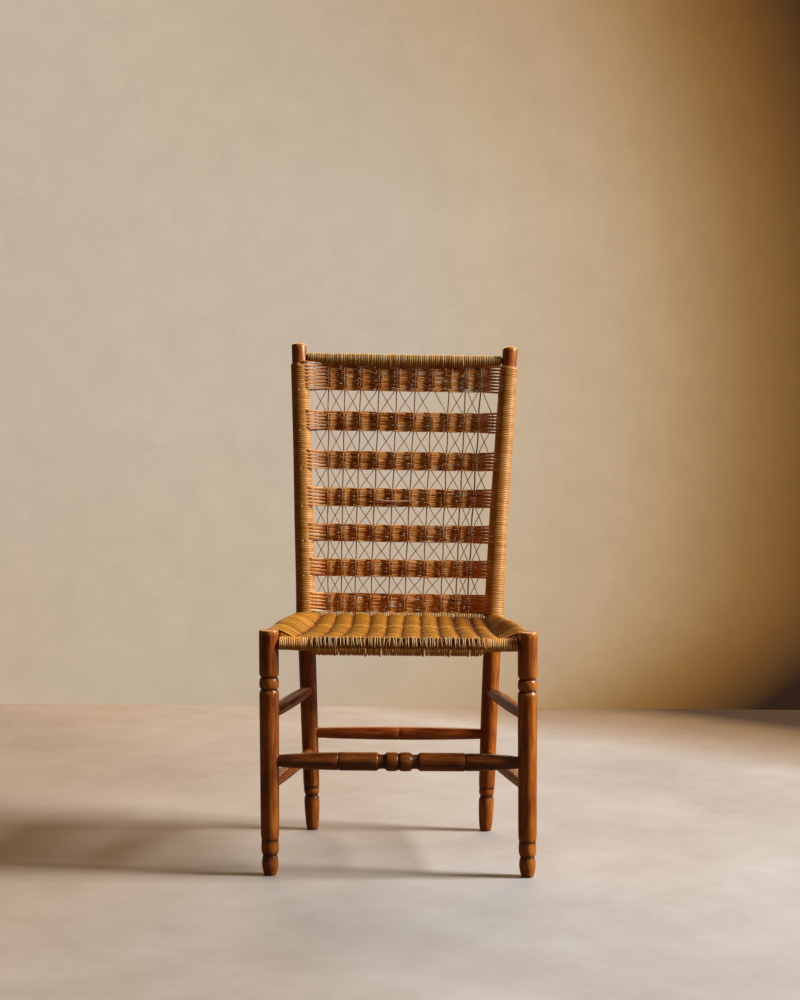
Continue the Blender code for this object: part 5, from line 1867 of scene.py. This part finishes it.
@dataclass(frozen=True)
class Studio:
    """A pale floor, a plain warm wall, one big soft light from the right, a warm one behind, and the camera."""

    lines: ChairLines
    lens: float = 66.96
    tilt: float = math.radians(2.9)
    roll: float = math.radians(0.45)
    distance: float = 3.397
    height: float = 0.867
    aside: float = -0.0033
    floor_edge: float = 1.71
    floor_front: float = -7.0
    floor_half: float = 6.0
    wall: tuple[tuple[float, str], ...] = (
        (0.03, "C3B19E"), (0.24, "C5B5A0"), (0.46, "C5B4A0"), (0.57, "C5B094"), (0.68, "BEA486"),
        (0.73, "B69974"), (0.77, "AB8A62"), (0.84, "916C3F"), (0.90, "77532B"), (0.99, "34241A"),
    )
    wall_foot: str = "F2E6D6"
    wall_crown: str = "F2EADF"
    room: str = "C4AF95"
    fill: str = "CBA87E"
    fill_strength: float = 0.04

    def build(self) -> None:
        """Set up the camera, the floor, the wall and the lamps."""
        self.make_camera()
        self.make_floor()
        self.make_world()
        for name, place, aim, size, power, colour in (
            ("key_light", Vector((6.93, -0.55, 4.70)), Vector((0, 0, 0.40)), (1.9, 2.6), 1075.0, "FFFBFA"),
            ("wall_light", Vector((0.3, 3.5, 3.0)), Vector((0, 0, 0.2)), (4.0, 3.0), 130.0, "FFD5A9"),
        ):
            data = bpy.data.lights.new(name, "AREA")
            data.shape = "RECTANGLE"
            data.size, data.size_y = size
            data.energy = power
            data.color = linear(colour)[:3]
            lamp = new_object(name, data)
            lamp.visible_camera = False
            lamp.matrix_world = Matrix.Translation(place) @ (aim - place).to_track_quat("-Z", "Y").to_matrix().to_4x4()
        bpy.context.scene.view_settings.view_transform = "Standard"

    def make_camera(self) -> None:
        """Stand the camera where the photograph was taken from."""
        data = bpy.data.cameras.new("camera")
        data.lens = self.lens
        data.sensor_width = 36.0
        data.clip_end = 50.0
        camera = new_object("camera", data)
        ahead = Vector((0, math.cos(self.tilt), -math.sin(self.tilt)))
        right, above = Vector((1, 0, 0)), Vector((0, math.sin(self.tilt), math.cos(self.tilt)))
        turned_right = right * math.cos(self.roll) + above * math.sin(self.roll)
        turned_up = above * math.cos(self.roll) - right * math.sin(self.roll)
        turn = Matrix((turned_right, turned_up, -ahead)).transposed()
        place = Vector((self.aside, self.lines.front - self.distance, self.height))
        camera.matrix_world = Matrix.Translation(place) @ turn.to_4x4()
        bpy.context.scene.camera = camera

    def make_floor(self) -> None:
        """Lay the floor, which ends where the photograph's wall begins."""
        work = bmesh.new()
        bmesh.ops.create_grid(work, x_segments=1, y_segments=1, size=1.0)
        for vert in work.verts:
            edge = self.floor_edge if vert.co.y > 0 else self.floor_front
            vert.co = Vector((vert.co.x * self.floor_half, edge, 0.0))
        floor = new_object("floor", mesh_from(work, "floor"))
        floor.data.materials.append(LimewashedFloor().make())

    def make_world(self) -> None:
        """Show a warm plastered wall to the camera and light the room softly."""
        world = bpy.data.worlds.new("studio")
        bpy.context.scene.world = world
        nodes = Shading(world, "OutputWorld")
        toward = nodes.read("TexCoord", "Generated")
        right, ahead, up = nodes.split(toward)
        across, upward = nodes.math("DIVIDE", right, ahead), nodes.math("DIVIDE", up, ahead)
        # The wall falls into shade at the right, along a line that bows at its top and its foot.
        high = nodes.math("ADD", upward, 0.01)
        low = nodes.math("SUBTRACT", -0.09, upward, clamp=True)
        place = nodes.math("MULTIPLY_ADD", nodes.math("MULTIPLY", high, high), 0.78, across)
        place = nodes.math("MULTIPLY_ADD", nodes.math("MULTIPLY", low, low), 9.0, place)
        wall = nodes.ramp(nodes.remap(place, -0.214, 0.266), self.wall)
        # It is a little dimmer toward the floor and at the upper right, and faintly mottled.
        wall = nodes.mix(nodes.remap(upward, 0.0, -0.16, 0.0, 0.4), wall, self.wall_foot, "MULTIPLY")
        crown = nodes.math("MULTIPLY", nodes.remap(upward, 0.1, 0.22), nodes.remap(across, -0.2, 0.0))
        wall = nodes.mix(crown, wall, self.wall_crown, "MULTIPLY")
        plaster = nodes.noise(toward, 60.0, 6.0, 0.7)
        wall = nodes.dim(wall, nodes.remap(plaster, 0.3, 0.7, 0.96, 1.05))
        # Away from the wall the room has one plain colour.
        wall = nodes.mix(nodes.remap(ahead, 0.75, 0.9), self.room, wall)
        # Only the camera and, weakly, the varnish see the wall; the rest gets the dim fill.
        camera, clear = nodes.read("LightPath", "Is Camera Ray"), nodes.read("LightPath", "Is Transmission Ray")
        direct = nodes.math("MAXIMUM", camera, clear)
        shown = nodes.math("MULTIPLY_ADD", nodes.read("LightPath", "Is Glossy Ray"), 0.2, direct, clamp=True)
        fill = nodes.glow(self.fill, self.fill_strength)
        nodes.end("MixShader", {0: shown, 1: fill, 2: nodes.glow(wall, 1.0)})


def ellipse(deep: float, high: float, half_depth: float, half_height: float) -> tuple[Pair, ...]:
    """Return eight points of an upright ellipse round (deep, high)."""
    turns = [math.radians(a) for a in range(0, 360, 45)]
    return tuple((deep + half_depth * math.cos(a), high + half_height * math.sin(a)) for a in turns)


def wrapped_rails(lines: ChairLines, finishes: Finishes) -> None:
    """Wrap the top rail, the front seat rail and the rear seat rail.

    Args:
        lines: the chair's centre lines.
        finishes: the materials.
    """
    front, level = lines.front, lines.top_rail_level
    crest = front + lines.lean(level)
    half = lines.half_spacing(level) - lines.post_radius(level) - 0.0020
    RailWrapping(
        name="top_rail_wrapping",
        node="top_rail_winding",
        end_loop=ellipse(crest, level - 0.0007, 0.0090, 0.0097),
        middle_loop=ellipse(crest - 0.0010, level - 0.0045, 0.0094, 0.0133),
        half_span=half,
        pitch=0.0045,
        width=0.0048,
        thickness=0.0012,
        seed=31,
        loose_share=0.03,
        pinch=0.04,
        upper_tone_shift=0.25,
        unevenness=0.05,
    ).build(finishes.edge)
    ends = (
        (0.0150, 0.4375), (0.0080, 0.4402), (-0.0020, 0.4402), (-0.0095, 0.4366), (-0.0138, 0.4290),
        (-0.0122, 0.4222), (-0.0050, 0.4190), (0.0040, 0.4190), (0.0110, 0.4215), (0.0142, 0.4270), (0.0155, 0.4330),
    )
    deeper = (
        (0.0150, 0.4375), (0.0080, 0.4402), (-0.0020, 0.4396), (-0.0088, 0.4350), (-0.0126, 0.4268),
        (-0.0146, 0.4180), (-0.0080, 0.4108), (0.0040, 0.4095), (0.0118, 0.4135), (0.0150, 0.4225), (0.0160, 0.4320),
    )
    RailWrapping(
        name="front_rail_wrapping",
        node="front_rail_winding",
        end_loop=tuple((front + deep, high) for deep, high in ends),
        middle_loop=tuple((front + deep, high) for deep, high in deeper),
        half_span=lines.leg_spacing / 2 - lines.leg_radius - 0.0010,
        pitch=0.0033,
        width=0.0033,
        thickness=0.0022,
        seed=41,
        loose_share=0.02,
        pinch=0.12,
        upper_tone_shift=0.05,
        # Painted shade on the tops of the deeper middle loops, under the edge strands.
        middle_top_painted_shade=-0.75,
        # A painted light lifts the tone of every loop.
        painted_light_lift=0.30,
        unevenness=0.07,
        flat=0.12,
        step_at=0.168,
        loose_at=(-0.1157, -0.0315, 0.0490, 0.0929, 0.1298),
    ).build(finishes.bind)
    EdgeStrands(front).build(finishes.edge)
    over_rear = (
        (0.3505, 0.4430), (0.3570, 0.4466), (0.3660, 0.4472), (0.3750, 0.4420), (0.3795, 0.4310),
        (0.3755, 0.4195), (0.3660, 0.4158), (0.3570, 0.4190), (0.3525, 0.4270), (0.3500, 0.4350),
    )
    loop = tuple((front + deep, high) for deep, high in over_rear)
    RailWrapping(
        name="rear_rail_wrapping",
        node="rear_rail_winding",
        end_loop=loop,
        middle_loop=loop,
        half_span=lines.half_spacing(lines.seat_level) - lines.seat_radius - 0.0020,
        pitch=0.0038,
        width=0.0036,
        thickness=0.0013,
        seed=51,
        loose_share=0.1,
        pinch=0.2,
        upper_tone_shift=0.1,
    ).build(finishes.edge)


def main() -> None:
    """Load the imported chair, dress it and set up the studio."""
    logging.basicConfig(level=logging.INFO, format="%(message)s")
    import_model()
    low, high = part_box("front_leg_left")
    lines = ChairLines(front=(low.y + high.y) / 2)
    finishes = Finishes.make()
    Studio(lines).build()
    back = WovenBack(lines)
    for word in SIDES:
        FrontLeg(lines, word).build(finishes)
        BackPost(lines, word).build(finishes)
        PostWrapping(lines, word, back.bands).build(finishes)
    Stretchers(lines).build(finishes)
    Rails(lines).build(finishes)
    wrapped_rails(lines, finishes)
    back.build(finishes)
    WovenSeat(lines).build(finishes)


if __name__ == "__main__":
    main()
